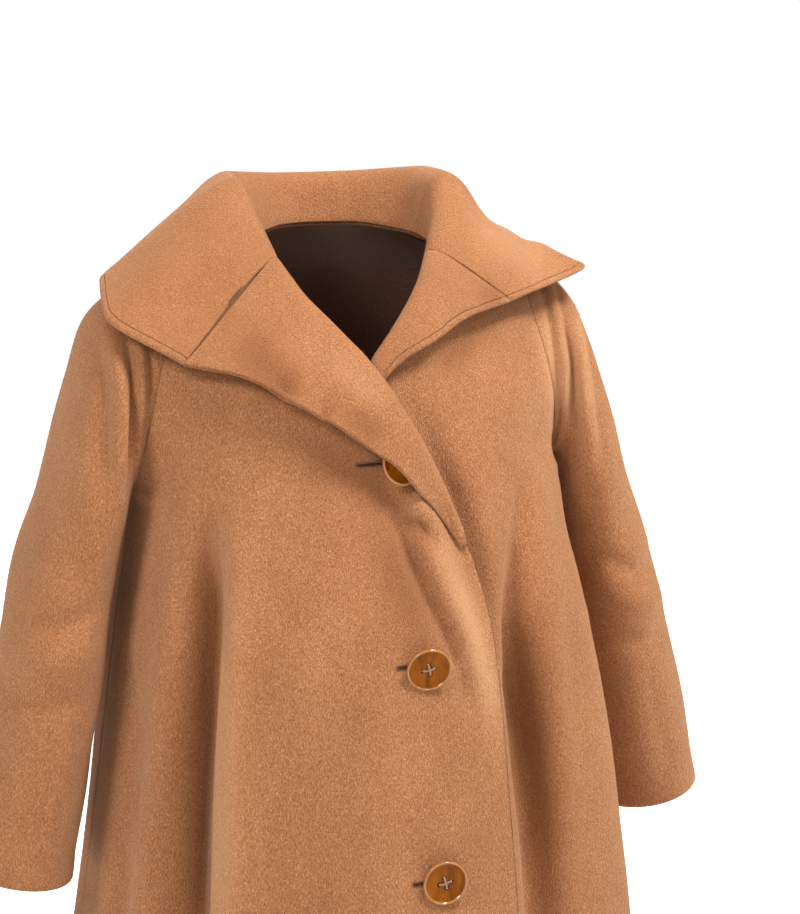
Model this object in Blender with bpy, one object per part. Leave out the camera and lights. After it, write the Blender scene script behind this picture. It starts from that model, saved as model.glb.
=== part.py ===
# Swing coat with a wide turned collar, worn form, hollow inside.
# X is the viewer's right, the coat faces -Y and +Z is up.
# The origin is the middle of the neck base, level with the neck points of the shoulder seams.
# Sizes are millimetres and become metres when a mesh is made.
import math
from collections import namedtuple

import bmesh
import bpy
import numpy as np
from mathutils import Vector
from mathutils.bvhtree import BVHTree

MM = 0.001

# Cloth and seams
CLOTH = 3.0            # wall of the napped coating
TOP_LAYER = 2.4        # wall of the facing and the upper collar
LINING_CLOTH = 1.2
SEAM = 0.25            # each piece stops this far short of its seam
NECK_SEAM = 0.5        # the same for the curved foot of the collar
UNDERARM_CLEAR = np.array([-1.8, 0.0, -1.0])   # the panels stop under the sleeve point
LAYER_GAP = 0.3        # between two layers that lie on each other

# Main levels
SHOULDER_TIP = -45.0
UNDERARM = -235.0
HEM = -950.0
GORGE_DROP = 20.0      # the top of the roll line below the neck point
NAPE_RISE = 6.0
UNDER_REACH = -45.0   # the lower front passes the middle this far

# Grid counts
BODY_COLUMNS = 19
TURN_COLUMNS = 8
BACK_COLUMNS = 10      # from a side seam to the middle of the back

# Buttons
BUTTON_RADIUS = 21.0
BUTTON_HEIGHT = 5.2
BUTTON_HOLE = 2.1
BUTTON_HOLE_REACH = 4.6
BUTTON_SIDES = 28
BUTTON_GAP = 0.3
SEAT_PROBE = 9.0       # the cloth under a button is sought from this far above it

Body = namedtuple("Body", "height half_width front back squareness")
BODY = [
    Body(6, 66, 40, 66, 2.0),
    Body(0, 80, 46, 70, 2.0),
    Body(-20, 130, 58, 86, 2.0),
    Body(-45, 192, 76, 100, 2.0),
    Body(-67, 212, 90, 106, 2.05),
    Body(-100, 225, 108, 111, 2.1),
    Body(-130, 228, 121, 114, 2.1),
    Body(-188, 222, 140, 117, 2.2),
    Body(-235, 205, 152, 121, 2.6),
    Body(-290, 211, 172, 133, 2.5),
    Body(-351, 221, 195, 150, 2.4),
    Body(-430, 232, 211, 164, 2.35),
    Body(-500, 242, 225, 175, 2.3),
    Body(-600, 256, 245, 190, 2.25),
    Body(-720, 275, 262, 207, 2.15),
    Body(-840, 290, 277, 224, 2.1),
    Body(-950, 302, 290, 240, 2.1),
]

# Armhole seam: how far out it lies, and how far to the front and to the back
Armhole = namedtuple("Armhole", "height front_x front_y back_x back_y")
ARMHOLE = [
    Armhole(-45, 192, 0, 192, 0),
    Armhole(-52, 185, -27, 187, 27),
    Armhole(-63, 180, -44, 183, 43),
    Armhole(-82, 182, -56, 183, 57),
    Armhole(-104, 187, -64, 185, 66),
    Armhole(-128, 193, -67, 190, 70),
    Armhole(-153, 199, -65, 196, 69),
    Armhole(-177, 203, -58, 201, 61),
    Armhole(-199, 206, -46, 205, 48),
    Armhole(-218, 207, -28, 207, 29),
    Armhole(-235, 205, 0, 205, 0),
]

# Roll line above the break and front edge below it, measured past the middle when negative
Edge = namedtuple("Edge", "height right left")
FRONT_EDGE = [
    Edge(-9, 80, 80),
    Edge(-42, 65, 58),
    Edge(-80, 37, 25),
    Edge(-114, 9, -5),
    Edge(-139, -7, -19),
    Edge(-174, -26, -34),
    Edge(-215, -45, -48),
    Edge(-261, -62, -63),
    Edge(-311, -76, -76),
    Edge(-354, -82, -82),
    Edge(-447, -87, -87),
    Edge(-950, -92, -92),
]

# Free edge of each turned lapel, by the level of the roll line beside it
Lapel = namedtuple("Lapel", "roll_height across height lift radius turn")
RIGHT_LAPEL = [
    Lapel(-20, 166, -108, 20, 7.0, 1.0),
    Lapel(-40, 126, -115, 20, 7.0, 1.0),
    Lapel(-66, 86, -135, 19, 6.5, 1.0),
    Lapel(-86, 60, -151, 19, 6.5, 1.0),
    Lapel(-118, 28, -175, 18, 6.5, 1.0),
    Lapel(-163, -4, -199, 17, 6.5, 1.0),
    Lapel(-201, -19, -217, 15, 6.5, 1.0),
    Lapel(-235, -39, -242, 12, 6.0, 1.0),
    Lapel(-262, -51, -266, 9.5, 5.6, 1.0),
    Lapel(-290, -61, -292, 7.5, 5.2, 1.0),
    Lapel(-318, -71, -319, 5.5, 4.8, 0.9),
    Lapel(-360, -80, -360, 0, 4.6, 0.0),
    Lapel(-950, -85, -950, 0, 4.6, 0.0),
]
LEFT_LAPEL = [
    Lapel(-20, 139, -70, 20, 7.0, 1.0),
    Lapel(-42, 96, -77, 18, 6.5, 1.0),
    Lapel(-66, 57, -94, 16, 5.5, 1.0),
    Lapel(-86, 34, -105, 14, 5.0, 1.0),
    Lapel(-104, 17, -115, 10.5, 4.2, 1.0),
    Lapel(-122, 6, -124, 8.5, 3.8, 1.0),
    Lapel(-143, -8, -143, 0, 4.0, 0.0),
    Lapel(-950, -45, -950, 0, 4.0, 0.0),
]

# How far the upper front stands off the chest where the two fronts cross
Stand = namedtuple("Stand", "height over under")
OVERLAP = [
    Stand(0, 0, 0),
    Stand(-55, 0, 0),
    Stand(-90, 11, -3),
    Stand(-106, 15, -5),
    Stand(-122, 15, -5),
    Stand(-155, 11, -5),
    Stand(-220, 6, -4.5),
    Stand(-350, 5, -4.5),
    Stand(-950, 5, -4.5),
]

# Crest and outer edge of the collar from the gorge seam to the middle of the back
Collar = namedtuple("Collar", "along crest_x crest_y crest_z edge_x edge_y edge_z")
COLLAR = [
    Collar(0.12, 92, -30, 27, 239, -45, -36),
    Collar(0.24, 101, -11, 55, 226, 6, -35),
    Collar(0.45, 98, 26, 57, 202, 52, -38),
    Collar(0.65, 73, 55, 54, 150, 97, -42),
    Collar(0.83, 38, 73, 51, 78, 120, -46),
    Collar(1.00, 0, 80, 50, 0, 126, -48),
]
RIGHT_TIP = (236.0, -52.0, -60.0)

# Sleeve rings below the armhole: outer and inner point and half depth
Ring = namedtuple("Ring", "outer_x outer_z inner_x inner_z half_depth forward blend")
SLEEVE = [
    Ring(218, -49, 212.5, -240, 72, 0, 0.30),
    Ring(239, -68, 217, -252, 78, 0, 0.70),
    Ring(252, -99, 221, -272, 80, 0, 1.0),
    Ring(265, -140, 225, -300, 79, 0, 1.0),
    Ring(280, -190, 230, -332, 78, -1, 1.0),
    Ring(298, -246, 236, -367, 76, -3, 1.0),
    Ring(321, -316, 244, -413, 74, -6, 1.0),
    Ring(344, -396, 254, -466, 71, -9, 1.0),
    Ring(365, -481, 265, -526, 68, -12, 1.0),
    Ring(383, -575, 278, -598, 64, -15, 1.0),
]

# Folds that fall from the chest: place from the middle (0) to the side seam (1)
Fold = namedtuple("Fold", "panel place_top place_hem start full depth width")
FOLDS = [
    Fold("front_left", 0.385, 0.33, -270, -480, -24, 0.075),
    Fold("front_left", 0.62, 0.58, -200, -430, 27, 0.12),
    Fold("front_left", 0.84, 0.84, -330, -800, -14, 0.07),
    Fold("front_right", 0.28, 0.26, -300, -700, -13, 0.08),
    Fold("front_right", 0.47, 0.44, -150, -360, 12, 0.065),
    Fold("front_right", 0.575, 0.555, -225, -330, -36, 0.06),
    Fold("front_right", 0.69, 0.68, -260, -480, 8, 0.06),
    Fold("front_right", 0.80, 0.81, -280, -520, -15, 0.06),
    Fold("back", 0.00, 0.00, -330, -860, -15, 0.10),
    Fold("back", 0.24, 0.22, -260, -740, 12, 0.09),
    Fold("back", 0.47, 0.45, -220, -700, -18, 0.09),
    Fold("back", 0.70, 0.72, -360, -820, 11, 0.08),
]

Button = namedtuple("Button", "name across height")
BUTTONS = [
    Button("button_1", -7, -192),
    Button("button_2", -16, -368),
    Button("button_3", -18, -560),
]

Cloth = namedtuple("Cloth", "colour roughness")
CAMEL = Cloth((0.56, 0.27, 0.125, 1.0), 0.9)
DARK_LINING = Cloth((0.045, 0.022, 0.014, 1.0), 0.55)
HORN = Cloth((0.30, 0.085, 0.012, 1.0), 0.28)

SHOULDER_LEVELS = np.linspace(0.0, SHOULDER_TIP, 4)
ARMHOLE_LEVELS = np.array([row.height for row in ARMHOLE], float)
SKIRT_LEVELS = np.array([-262, -300, -345, -392, -440, -510, -600, -700, -800, -880, HEM])
LEVELS = np.concatenate([SHOULDER_LEVELS[:-1], ARMHOLE_LEVELS, SKIRT_LEVELS])
TIP_ROW = len(SHOULDER_LEVELS) - 1
UNDERARM_ROW = TIP_ROW + len(ARMHOLE_LEVELS) - 1
FACING_ROWS = {"right": 16, "left": 8}
LINING_ROWS = UNDERARM_ROW + 1


def smooth(value):
    value = np.clip(value, 0.0, 1.0)
    return value * value * (3.0 - 2.0 * value)


def unit(vectors):
    vectors = np.asarray(vectors, float)
    size = np.linalg.norm(vectors, axis=-1, keepdims=True)
    return vectors / np.maximum(size, 1e-9)


def through(keys, values, where):
    # Curve through the rows of a table that never swings past them
    order = np.argsort(keys)
    keys = np.asarray(keys, float)[order]
    values = np.asarray(values, float)[order]
    where = np.clip(where, keys[0], keys[-1])
    step = np.diff(keys)
    rise = np.diff(values) / step
    slope = np.zeros(len(keys))
    slope[0] = rise[0]
    slope[-1] = rise[-1]
    for i in range(1, len(keys) - 1):
        if rise[i - 1] * rise[i] > 0:
            first = 2 * step[i] + step[i - 1]
            second = step[i] + 2 * step[i - 1]
            slope[i] = (first + second) / (first / rise[i - 1] + second / rise[i])
    spot = np.clip(np.searchsorted(keys, where) - 1, 0, len(keys) - 2)
    part = (where - keys[spot]) / step[spot]
    start = values[spot] + 0.0
    end = values[spot + 1] + 0.0
    lean = part * (1 - part)
    curve = start + (end - start) * part * part * (3 - 2 * part)
    return curve + lean * step[spot] * (slope[spot] * (1 - part) - slope[spot + 1] * part)


def look_up(table, column, where, key="height"):
    keys = [getattr(row, key) for row in table]
    values = [getattr(row, column) for row in table]
    return through(keys, values, where)


def side_point(height, face):
    # Where a panel ends: shoulder seam, armhole or side seam
    if height >= SHOULDER_TIP or height <= UNDERARM:
        return np.array([float(look_up(BODY, "half_width", height)), 0.0])
    across = look_up(ARMHOLE, face + "_x", height)
    depth = look_up(ARMHOLE, face + "_y", height)
    return np.array([float(across), float(depth)])


def fold_depth(panel, place, height):
    total = np.zeros_like(place)
    for fold in FOLDS:
        if fold.panel == panel:
            fall = np.clip((height - fold.start) / (HEM - fold.start), 0, 1)
            middle = fold.place_top + (fold.place_hem - fold.place_top) * fall
            grown = smooth((height - fold.start) / (fold.full - fold.start))
            total += fold.depth * grown * np.exp(-((place - middle) / fold.width) ** 2)
    return total * smooth((1.0 - place) / 0.14)


class Section:
    # One level cut of a panel, from past the middle to its side
    def __init__(self, panel, height):
        face = "back" if panel == "back" else "front"
        sign = 1.0 if face == "back" else -1.0
        width = float(look_up(BODY, "half_width", height))
        depth = float(look_up(BODY, face, height))
        power = 2.0 / float(look_up(BODY, "squareness", height))
        end = side_point(height, face)
        reach = min(end[0] / width, 1.0)
        last = math.asin(min(reach ** (1.0 / power), 1.0))
        turn = np.linspace(0.0, last, 61)
        x = width * np.sin(turn) ** power
        y = sign * depth * np.clip(np.cos(turn), 0, 1) ** power
        part = np.linspace(0.0, 1.0, 61)
        pull = smooth((part - 0.25) / 0.75)
        x = x + (end[0] - x[-1]) * pull
        y = y + (end[1] - y[-1]) * pull
        if panel != "back":
            self.stand_off(panel, height, x, y)
        x = np.concatenate([-x[:0:-1], x])
        y = np.concatenate([y[:0:-1], y])
        line = np.stack([x, y], 1)
        run = np.concatenate([[0], np.cumsum(np.linalg.norm(np.diff(line, axis=0), axis=1))])
        middle = len(run) // 2
        run = (run - run[middle]) / (run[-1] - run[middle])
        across = np.gradient(line, axis=0)
        normal = unit(np.stack([across[:, 1], -across[:, 0]], 1)) * -sign
        line = line + normal * fold_depth(panel, run, height)[:, None]
        self.height = height
        self.run = run
        self.line = line

    def stand_off(self, panel, height, x, y):
        column = "over" if panel == "front_right" else "under"
        lift = float(look_up(OVERLAP, column, height))
        y -= lift * smooth((170.0 - x) / 90.0)

    def place_of(self, across):
        return float(np.interp(across, self.line[:, 0], self.run))

    def at(self, place):
        x = np.interp(place, self.run, self.line[:, 0])
        y = np.interp(place, self.run, self.line[:, 1])
        return np.array([x, y, self.height])


def front_surface(panel, across, height):
    cut = Section(panel, height)
    return cut.at(cut.place_of(across))


def surface_frame(panel, across, height):
    middle = front_surface(panel, across, height)
    along = front_surface(panel, across + 4.0, height) - front_surface(panel, across - 4.0, height)
    down = front_surface(panel, across, height - 4.0) - front_surface(panel, across, height + 4.0)
    out = unit(np.cross(down, along))
    if out[1] > 0:
        out = -out
    return middle, unit(along), out


def bezier(start, first, second, end, count):
    t = np.linspace(0.0, 1.0, count)[:, None]
    return ((1 - t) ** 3 * start + 3 * t * (1 - t) ** 2 * first
            + 3 * t * t * (1 - t) * second + t ** 3 * end)


Turn = namedtuple("Turn", "base leave rise crest over reach fall edge arrive")


def turn_line(turn, rows):
    # Cloth that leaves a seam or a roll line, passes its crest and falls to its free edge
    first = max(3, int(round(rows * 0.36)))
    up = bezier(turn.base, turn.base + turn.leave * turn.rise,
                turn.crest - turn.over * turn.reach, turn.crest, first)
    down = bezier(turn.crest, turn.crest + turn.over * turn.fall,
                  turn.edge - turn.arrive, turn.edge, rows - first + 1)
    return np.concatenate([up, down[1:]])


def lapel_turn(side, base, along, out, level):
    table = RIGHT_LAPEL if side == "right" else LEFT_LAPEL
    panel = "front_" + side
    radius = float(look_up(table, "radius", level, "roll_height"))
    turned = float(look_up(table, "turn", level, "roll_height"))
    across = float(look_up(table, "across", level, "roll_height"))
    height = float(look_up(table, "height", level, "roll_height"))
    lift = float(look_up(table, "lift", level, "roll_height"))
    towards = -along
    crest = base + towards * radius + out * radius * turned
    over = unit(out * turned + towards * (1.0 - turned))
    ground, ground_along, ground_out = surface_frame(panel, across, height)
    edge = ground + ground_out * lift
    flat = crest + towards * 5.0
    edge = flat + (edge - flat) * smooth(turned)
    chord = np.linalg.norm(edge - crest)
    arrive = unit(edge - crest) * chord * 0.36
    return Turn(base, towards, radius * 0.55, crest, over, radius * 0.55,
                min(radius * 1.9, chord * 0.5), edge, arrive)


def edge_level(side_level):
    keys = [0, -45, -104, -177, UNDERARM]
    drops = [GORGE_DROP, 24, 18, 9, 0]
    return side_level - float(through(keys, drops, side_level))


def front_grid(side):
    # Rows run down from the neck, columns run from the side seam to the free edge
    panel = "front_" + side
    rows = []
    turns = []
    for level in LEVELS:
        low = edge_level(level)
        across = float(look_up(FRONT_EDGE, side, low))
        if side == "left":
            across = max(across, UNDER_REACH)
        table = RIGHT_LAPEL if side == "right" else LEFT_LAPEL
        radius = float(look_up(table, "radius", low, "roll_height"))
        start = Section(panel, low).place_of(across + radius)
        body = []
        for part in np.linspace(1.0, 0.0, BODY_COLUMNS):
            cut = Section(panel, low + (level - low) * part)
            body.append(cut.at(start + (1.0 - start) * part))
        base, along, out = surface_frame(panel, across + radius, low)
        turn = lapel_turn(side, body[-1], along, out, low)
        line = turn_line(turn, TURN_COLUMNS + 1)
        rows.append(np.concatenate([np.array(body), line[1:]]))
        turns.append(turn)
    return np.array(rows), turns[0]


def grid_normals(grid, closed=False):
    down = np.gradient(grid, axis=0)
    if closed:
        across = np.roll(grid, -1, axis=1) - np.roll(grid, 1, axis=1)
    else:
        across = np.gradient(grid, axis=1)
    return unit(np.cross(down, across))


def back_grid():
    rows = []
    for level in LEVELS:
        rise = NAPE_RISE * float(smooth(1.0 + level / 120.0))
        half = []
        for part in np.linspace(1.0, 0.0, BACK_COLUMNS + 1):
            cut = Section("back", level + rise * float(smooth((1.0 - part) * 1.6)))
            half.append(cut.at(part))
        half = np.array(half)
        other = half[-2::-1] * np.array([-1.0, 1.0, 1.0])
        rows.append(np.concatenate([half, other]))
    return np.array(rows)


def collar_turns(side, first, base_line):
    # Turns of one half of the collar, from the gorge seam to the middle of the back
    run = np.concatenate([[0], np.cumsum(np.linalg.norm(np.diff(base_line, axis=0), axis=1))])
    neck = run[4]
    places = np.where(run <= neck, 0.24 * run / neck,
                      0.24 + 0.76 * (run - neck) / (run[-1] - neck))
    keys = [0.0] + [row.along for row in COLLAR]
    crests = [first.crest] + [np.array([row.crest_x, row.crest_y, row.crest_z]) for row in COLLAR]
    edges = [first.edge] + [np.array([row.edge_x, row.edge_y, row.edge_z]) for row in COLLAR]
    if side == "right":
        edges[1] = np.array(RIGHT_TIP)
    crests = np.array(crests, float)
    edges = np.array(edges, float)
    turns = []
    for place, base in zip(places, base_line):
        crest = np.array([float(through(keys, crests[:, i], place)) for i in range(3)])
        edge = np.array([float(through(keys, edges[:, i], place)) for i in range(3)])
        grown = float(smooth(place / 0.24))
        away = (edge - base) * np.array([1.0, 1.0, 0.0])
        upright = unit(np.array([0.0, 0.0, 1.0]) + 0.25 * unit(away))
        leave = unit(first.leave * (1 - grown) + upright * grown)
        outward = unit(unit(away) + np.array([0.0, 0.0, 0.12]))
        over = unit(first.over * (1 - grown) + outward * grown)
        tall = np.linalg.norm(crest - base)
        rise = first.rise + (tall * 0.45 - first.rise) * grown
        reach = first.reach + (9.0 - first.reach) * grown
        fall = first.fall + (20.0 - first.fall) * grown
        arrive = unit(edge - crest) * np.linalg.norm(edge - crest) * 0.36
        turns.append(Turn(base, leave, rise, crest, over, reach, fall, edge, arrive))
    return turns


def mirrored(points):
    return points * np.array([-1.0, 1.0, 1.0])


def add_wall(name, grid, normals, near, far, look, closed=False):
    # Cloth between two moved copies of a grid, rimmed all round
    rows, columns = grid.shape[:2]
    outer = (grid + normals * far).reshape(-1, 3)
    inner = (grid + normals * near).reshape(-1, 3)
    count = rows * columns
    faces = []
    wide = columns if closed else columns - 1

    def spot(i, j):
        return i * columns + j % columns

    for i in range(rows - 1):
        for j in range(wide):
            a, b = spot(i, j), spot(i, j + 1)
            d, c = spot(i + 1, j), spot(i + 1, j + 1)
            faces += [(a, c, b), (a, d, c)]
            faces += [(count + a, count + b, count + c), (count + a, count + c, count + d)]
    rim = []
    for j in range(wide):
        rim.append((spot(0, j), spot(0, j + 1)))
        rim.append((spot(rows - 1, j + 1), spot(rows - 1, j)))
    if not closed:
        for i in range(rows - 1):
            rim.append((spot(i + 1, 0), spot(i, 0)))
            rim.append((spot(i, columns - 1), spot(i + 1, columns - 1)))
    for a, b in rim:
        faces += [(a, b, count + b), (a, count + b, count + a)]
    return add_mesh(name, np.concatenate([outer, inner]), faces, look)


def add_mesh(name, points, faces, look):
    mesh = bpy.data.meshes.new(name)
    mesh.from_pydata([tuple(p) for p in np.asarray(points) * MM], [], faces)
    shape = bmesh.new()
    shape.from_mesh(mesh)
    bmesh.ops.recalc_face_normals(shape, faces=shape.faces)
    if shape.calc_volume(signed=True) < 0:
        bmesh.ops.reverse_faces(shape, faces=shape.faces)
    shape.to_mesh(mesh)
    shape.free()
    mesh.materials.append(make_material(name, look))
    part = bpy.data.objects.new(name, mesh)
    bpy.context.scene.collection.objects.link(part)
    return part


def make_material(name, look):
    material = bpy.data.materials.new(name)
    material.use_nodes = True
    shader = material.node_tree.nodes["Principled BSDF"]
    shader.inputs["Base Color"].default_value = look.colour
    shader.inputs["Roughness"].default_value = look.roughness
    shader.inputs["Metallic"].default_value = 0.0
    material.diffuse_color = look.colour
    return material


def armhole_normals(points):
    # Across the seam both cloths end in planes that run out from the middle of the armhole
    middle = np.array([0.0, 0.0, (SHOULDER_TIP + UNDERARM) / 2.0])
    away = (points - middle) * np.array([0.0, 1.0, 1.0])
    return unit(away)


def seam_normals(grid, normals):
    # Side border of a panel, column 0: shoulder seam, armhole, side seam
    for i in range(len(LEVELS)):
        if TIP_ROW <= i <= UNDERARM_ROW:
            normals[i, 0] = armhole_normals(grid[i, 0])
        else:
            normals[i, 0] = unit(normals[i, 0] * np.array([1.0, 0.0, 1.0]))


def side_gap(grid, sign):
    # Leaves the seam free along column 0
    for i in range(len(LEVELS)):
        if TIP_ROW < i < UNDERARM_ROW:
            grid[i, 0, 0] -= SEAM
        else:
            grid[i, 0, 1] += sign * SEAM
    grid[UNDERARM_ROW, 0] += UNDERARM_CLEAR


def neck_base(front, back, side):
    # Rim of the neck from the gorge to the middle of the back
    rim = front[0, :BODY_COLUMNS][::-1]
    run = np.linspace(0, BODY_COLUMNS - 1, 5)
    index = np.arange(BODY_COLUMNS)
    first = np.stack([np.interp(run, index, rim[:, k]) for k in range(3)], 1)
    return np.concatenate([first, back[0, 1:BACK_COLUMNS + 1]])


def collar_grid(fronts, starts, back):
    halves = []
    for side in ("right", "left"):
        base = neck_base(fronts[side], back, side)
        turns = collar_turns(side, starts[side], base)
        lines = np.array([turn_line(turn, TURN_COLUMNS + 1) for turn in turns])
        halves.append(mirrored(lines) if side == "right" else lines)
    return np.concatenate([halves[0], halves[1][-2::-1]])


def sleeve_grid():
    front = np.array([[*side_point(z, "front"), z] for z in ARMHOLE_LEVELS])
    back = np.array([[*side_point(z, "back"), z] for z in ARMHOLE_LEVELS])
    loop = np.concatenate([front, back[-2:0:-1]])
    angle = []
    for edge in (front, back):
        run = np.cumsum(np.linalg.norm(np.diff(edge, axis=0), axis=1))
        angle.append(np.concatenate([[0], run / run[-1]]) * math.pi)
    around = np.concatenate([angle[0], 2 * math.pi - angle[1][-2:0:-1]])
    first = loop + np.array([SEAM, 0.0, 0.0])
    rings = [first]
    top = loop[0]
    low = loop[len(front) - 1]
    for ring in SLEEVE:
        outer = np.array([ring.outer_x, ring.forward, ring.outer_z])
        inner = np.array([ring.inner_x, ring.forward, ring.inner_z])
        middle = (outer + inner) / 2
        half = (outer - inner) / 2
        oval = (middle + np.cos(around)[:, None] * half
                - np.sin(around)[:, None] * np.array([0.0, ring.half_depth, 0.0]))
        share = (1 + np.cos(around))[:, None] / 2
        moved = loop + share * (outer - top) + (1 - share) * (inner - low)
        rings.append(moved + (oval - moved) * ring.blend)
    return np.array(rings)


def seat_height(ground, middle, level, upward, out):
    # How far a flat button back can come down until it lies just clear of the cloth
    mesh = ground.data
    tree = BVHTree.FromPolygons([v.co for v in mesh.vertices], [p.vertices for p in mesh.polygons])
    room = []
    for share in (0.0, 0.4, 0.8):
        for k in range(16):
            turn = 2 * math.pi * k / 16
            reach = BUTTON_RADIUS * share
            spot = middle + out * SEAT_PROBE + reach * (math.cos(turn) * level + math.sin(turn) * upward)
            hit = tree.ray_cast(Vector(spot * MM), Vector(-out))
            if hit[0] is not None:
                room.append(SEAT_PROBE - hit[3] / MM)
    return max(room) + BUTTON_GAP


def add_button(button, ground):
    middle, along, out = surface_frame("front_right", button.across, button.height)
    middle = mirrored(middle)
    out = unit(mirrored(out))
    level = unit(np.cross(np.array([0.0, 0.0, 1.0]), out))
    upward = np.cross(out, level)
    base = middle + out * seat_height(ground, middle, level, upward, out)
    profile = [
        (0.0, 0.0), (BUTTON_RADIUS * 0.80, 0.0), (BUTTON_RADIUS, BUTTON_HEIGHT * 0.42),
        (BUTTON_RADIUS * 0.97, BUTTON_HEIGHT * 0.86), (BUTTON_RADIUS * 0.90, BUTTON_HEIGHT),
        (BUTTON_RADIUS * 0.76, BUTTON_HEIGHT * 0.92), (BUTTON_RADIUS * 0.62, BUTTON_HEIGHT * 0.66),
        (0.0, BUTTON_HEIGHT * 0.60),
    ]
    shape = bmesh.new()
    rings = []
    for radius, height in profile:
        if radius == 0.0:
            rings.append([shape.verts.new(tuple((base + out * height) * MM))])
            continue
        ring = []
        for k in range(BUTTON_SIDES):
            turn = 2 * math.pi * k / BUTTON_SIDES
            spot = base + out * height + radius * (math.cos(turn) * level + math.sin(turn) * upward)
            ring.append(shape.verts.new(tuple(spot * MM)))
        rings.append(ring)
    for lower, upper in zip(rings, rings[1:]):
        for k in range(BUTTON_SIDES):
            n = (k + 1) % BUTTON_SIDES
            corners = [lower[k % len(lower)], lower[n % len(lower)], upper[n % len(upper)],
                       upper[k % len(upper)]]
            shape.faces.new(list(dict.fromkeys(corners)))
    bmesh.ops.recalc_face_normals(shape, faces=shape.faces)
    mesh = bpy.data.meshes.new(button.name)
    shape.to_mesh(mesh)
    shape.free()
    mesh.materials.append(make_material(button.name, HORN))
    part = bpy.data.objects.new(button.name, mesh)
    bpy.context.scene.collection.objects.link(part)
    cut_holes(part, base, level, upward, out)


def cut_holes(part, base, level, upward, out):
    shape = bmesh.new()
    for k in range(4):
        turn = math.pi / 2 * k + 0.25
        spot = base + BUTTON_HOLE_REACH * (math.cos(turn) * level + math.sin(turn) * upward)
        rings = []
        for height in (-3.0, BUTTON_HEIGHT + 3.0):
            ring = []
            for j in range(8):
                bend = 2 * math.pi * j / 8
                side = BUTTON_HOLE * (math.cos(bend) * level + math.sin(bend) * upward)
                ring.append(shape.verts.new(tuple((spot + side + out * height) * MM)))
            rings.append(ring)
            shape.faces.new(ring)
        for j in range(8):
            n = (j + 1) % 8
            shape.faces.new([rings[0][j], rings[0][n], rings[1][n], rings[1][j]])
    bmesh.ops.recalc_face_normals(shape, faces=shape.faces)
    mesh = bpy.data.meshes.new("hole_tool")
    shape.to_mesh(mesh)
    shape.free()
    tool = bpy.data.objects.new("hole_tool", mesh)
    bpy.context.scene.collection.objects.link(tool)
    cut = part.modifiers.new("holes", "BOOLEAN")
    cut.operation = "DIFFERENCE"
    cut.solver = "EXACT"
    cut.object = tool
    bpy.context.view_layer.update()
    graph = bpy.context.evaluated_depsgraph_get()
    done = bpy.data.meshes.new_from_object(part.evaluated_get(graph))
    part.modifiers.remove(cut)
    part.data = done
    bpy.data.objects.remove(tool)


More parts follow.
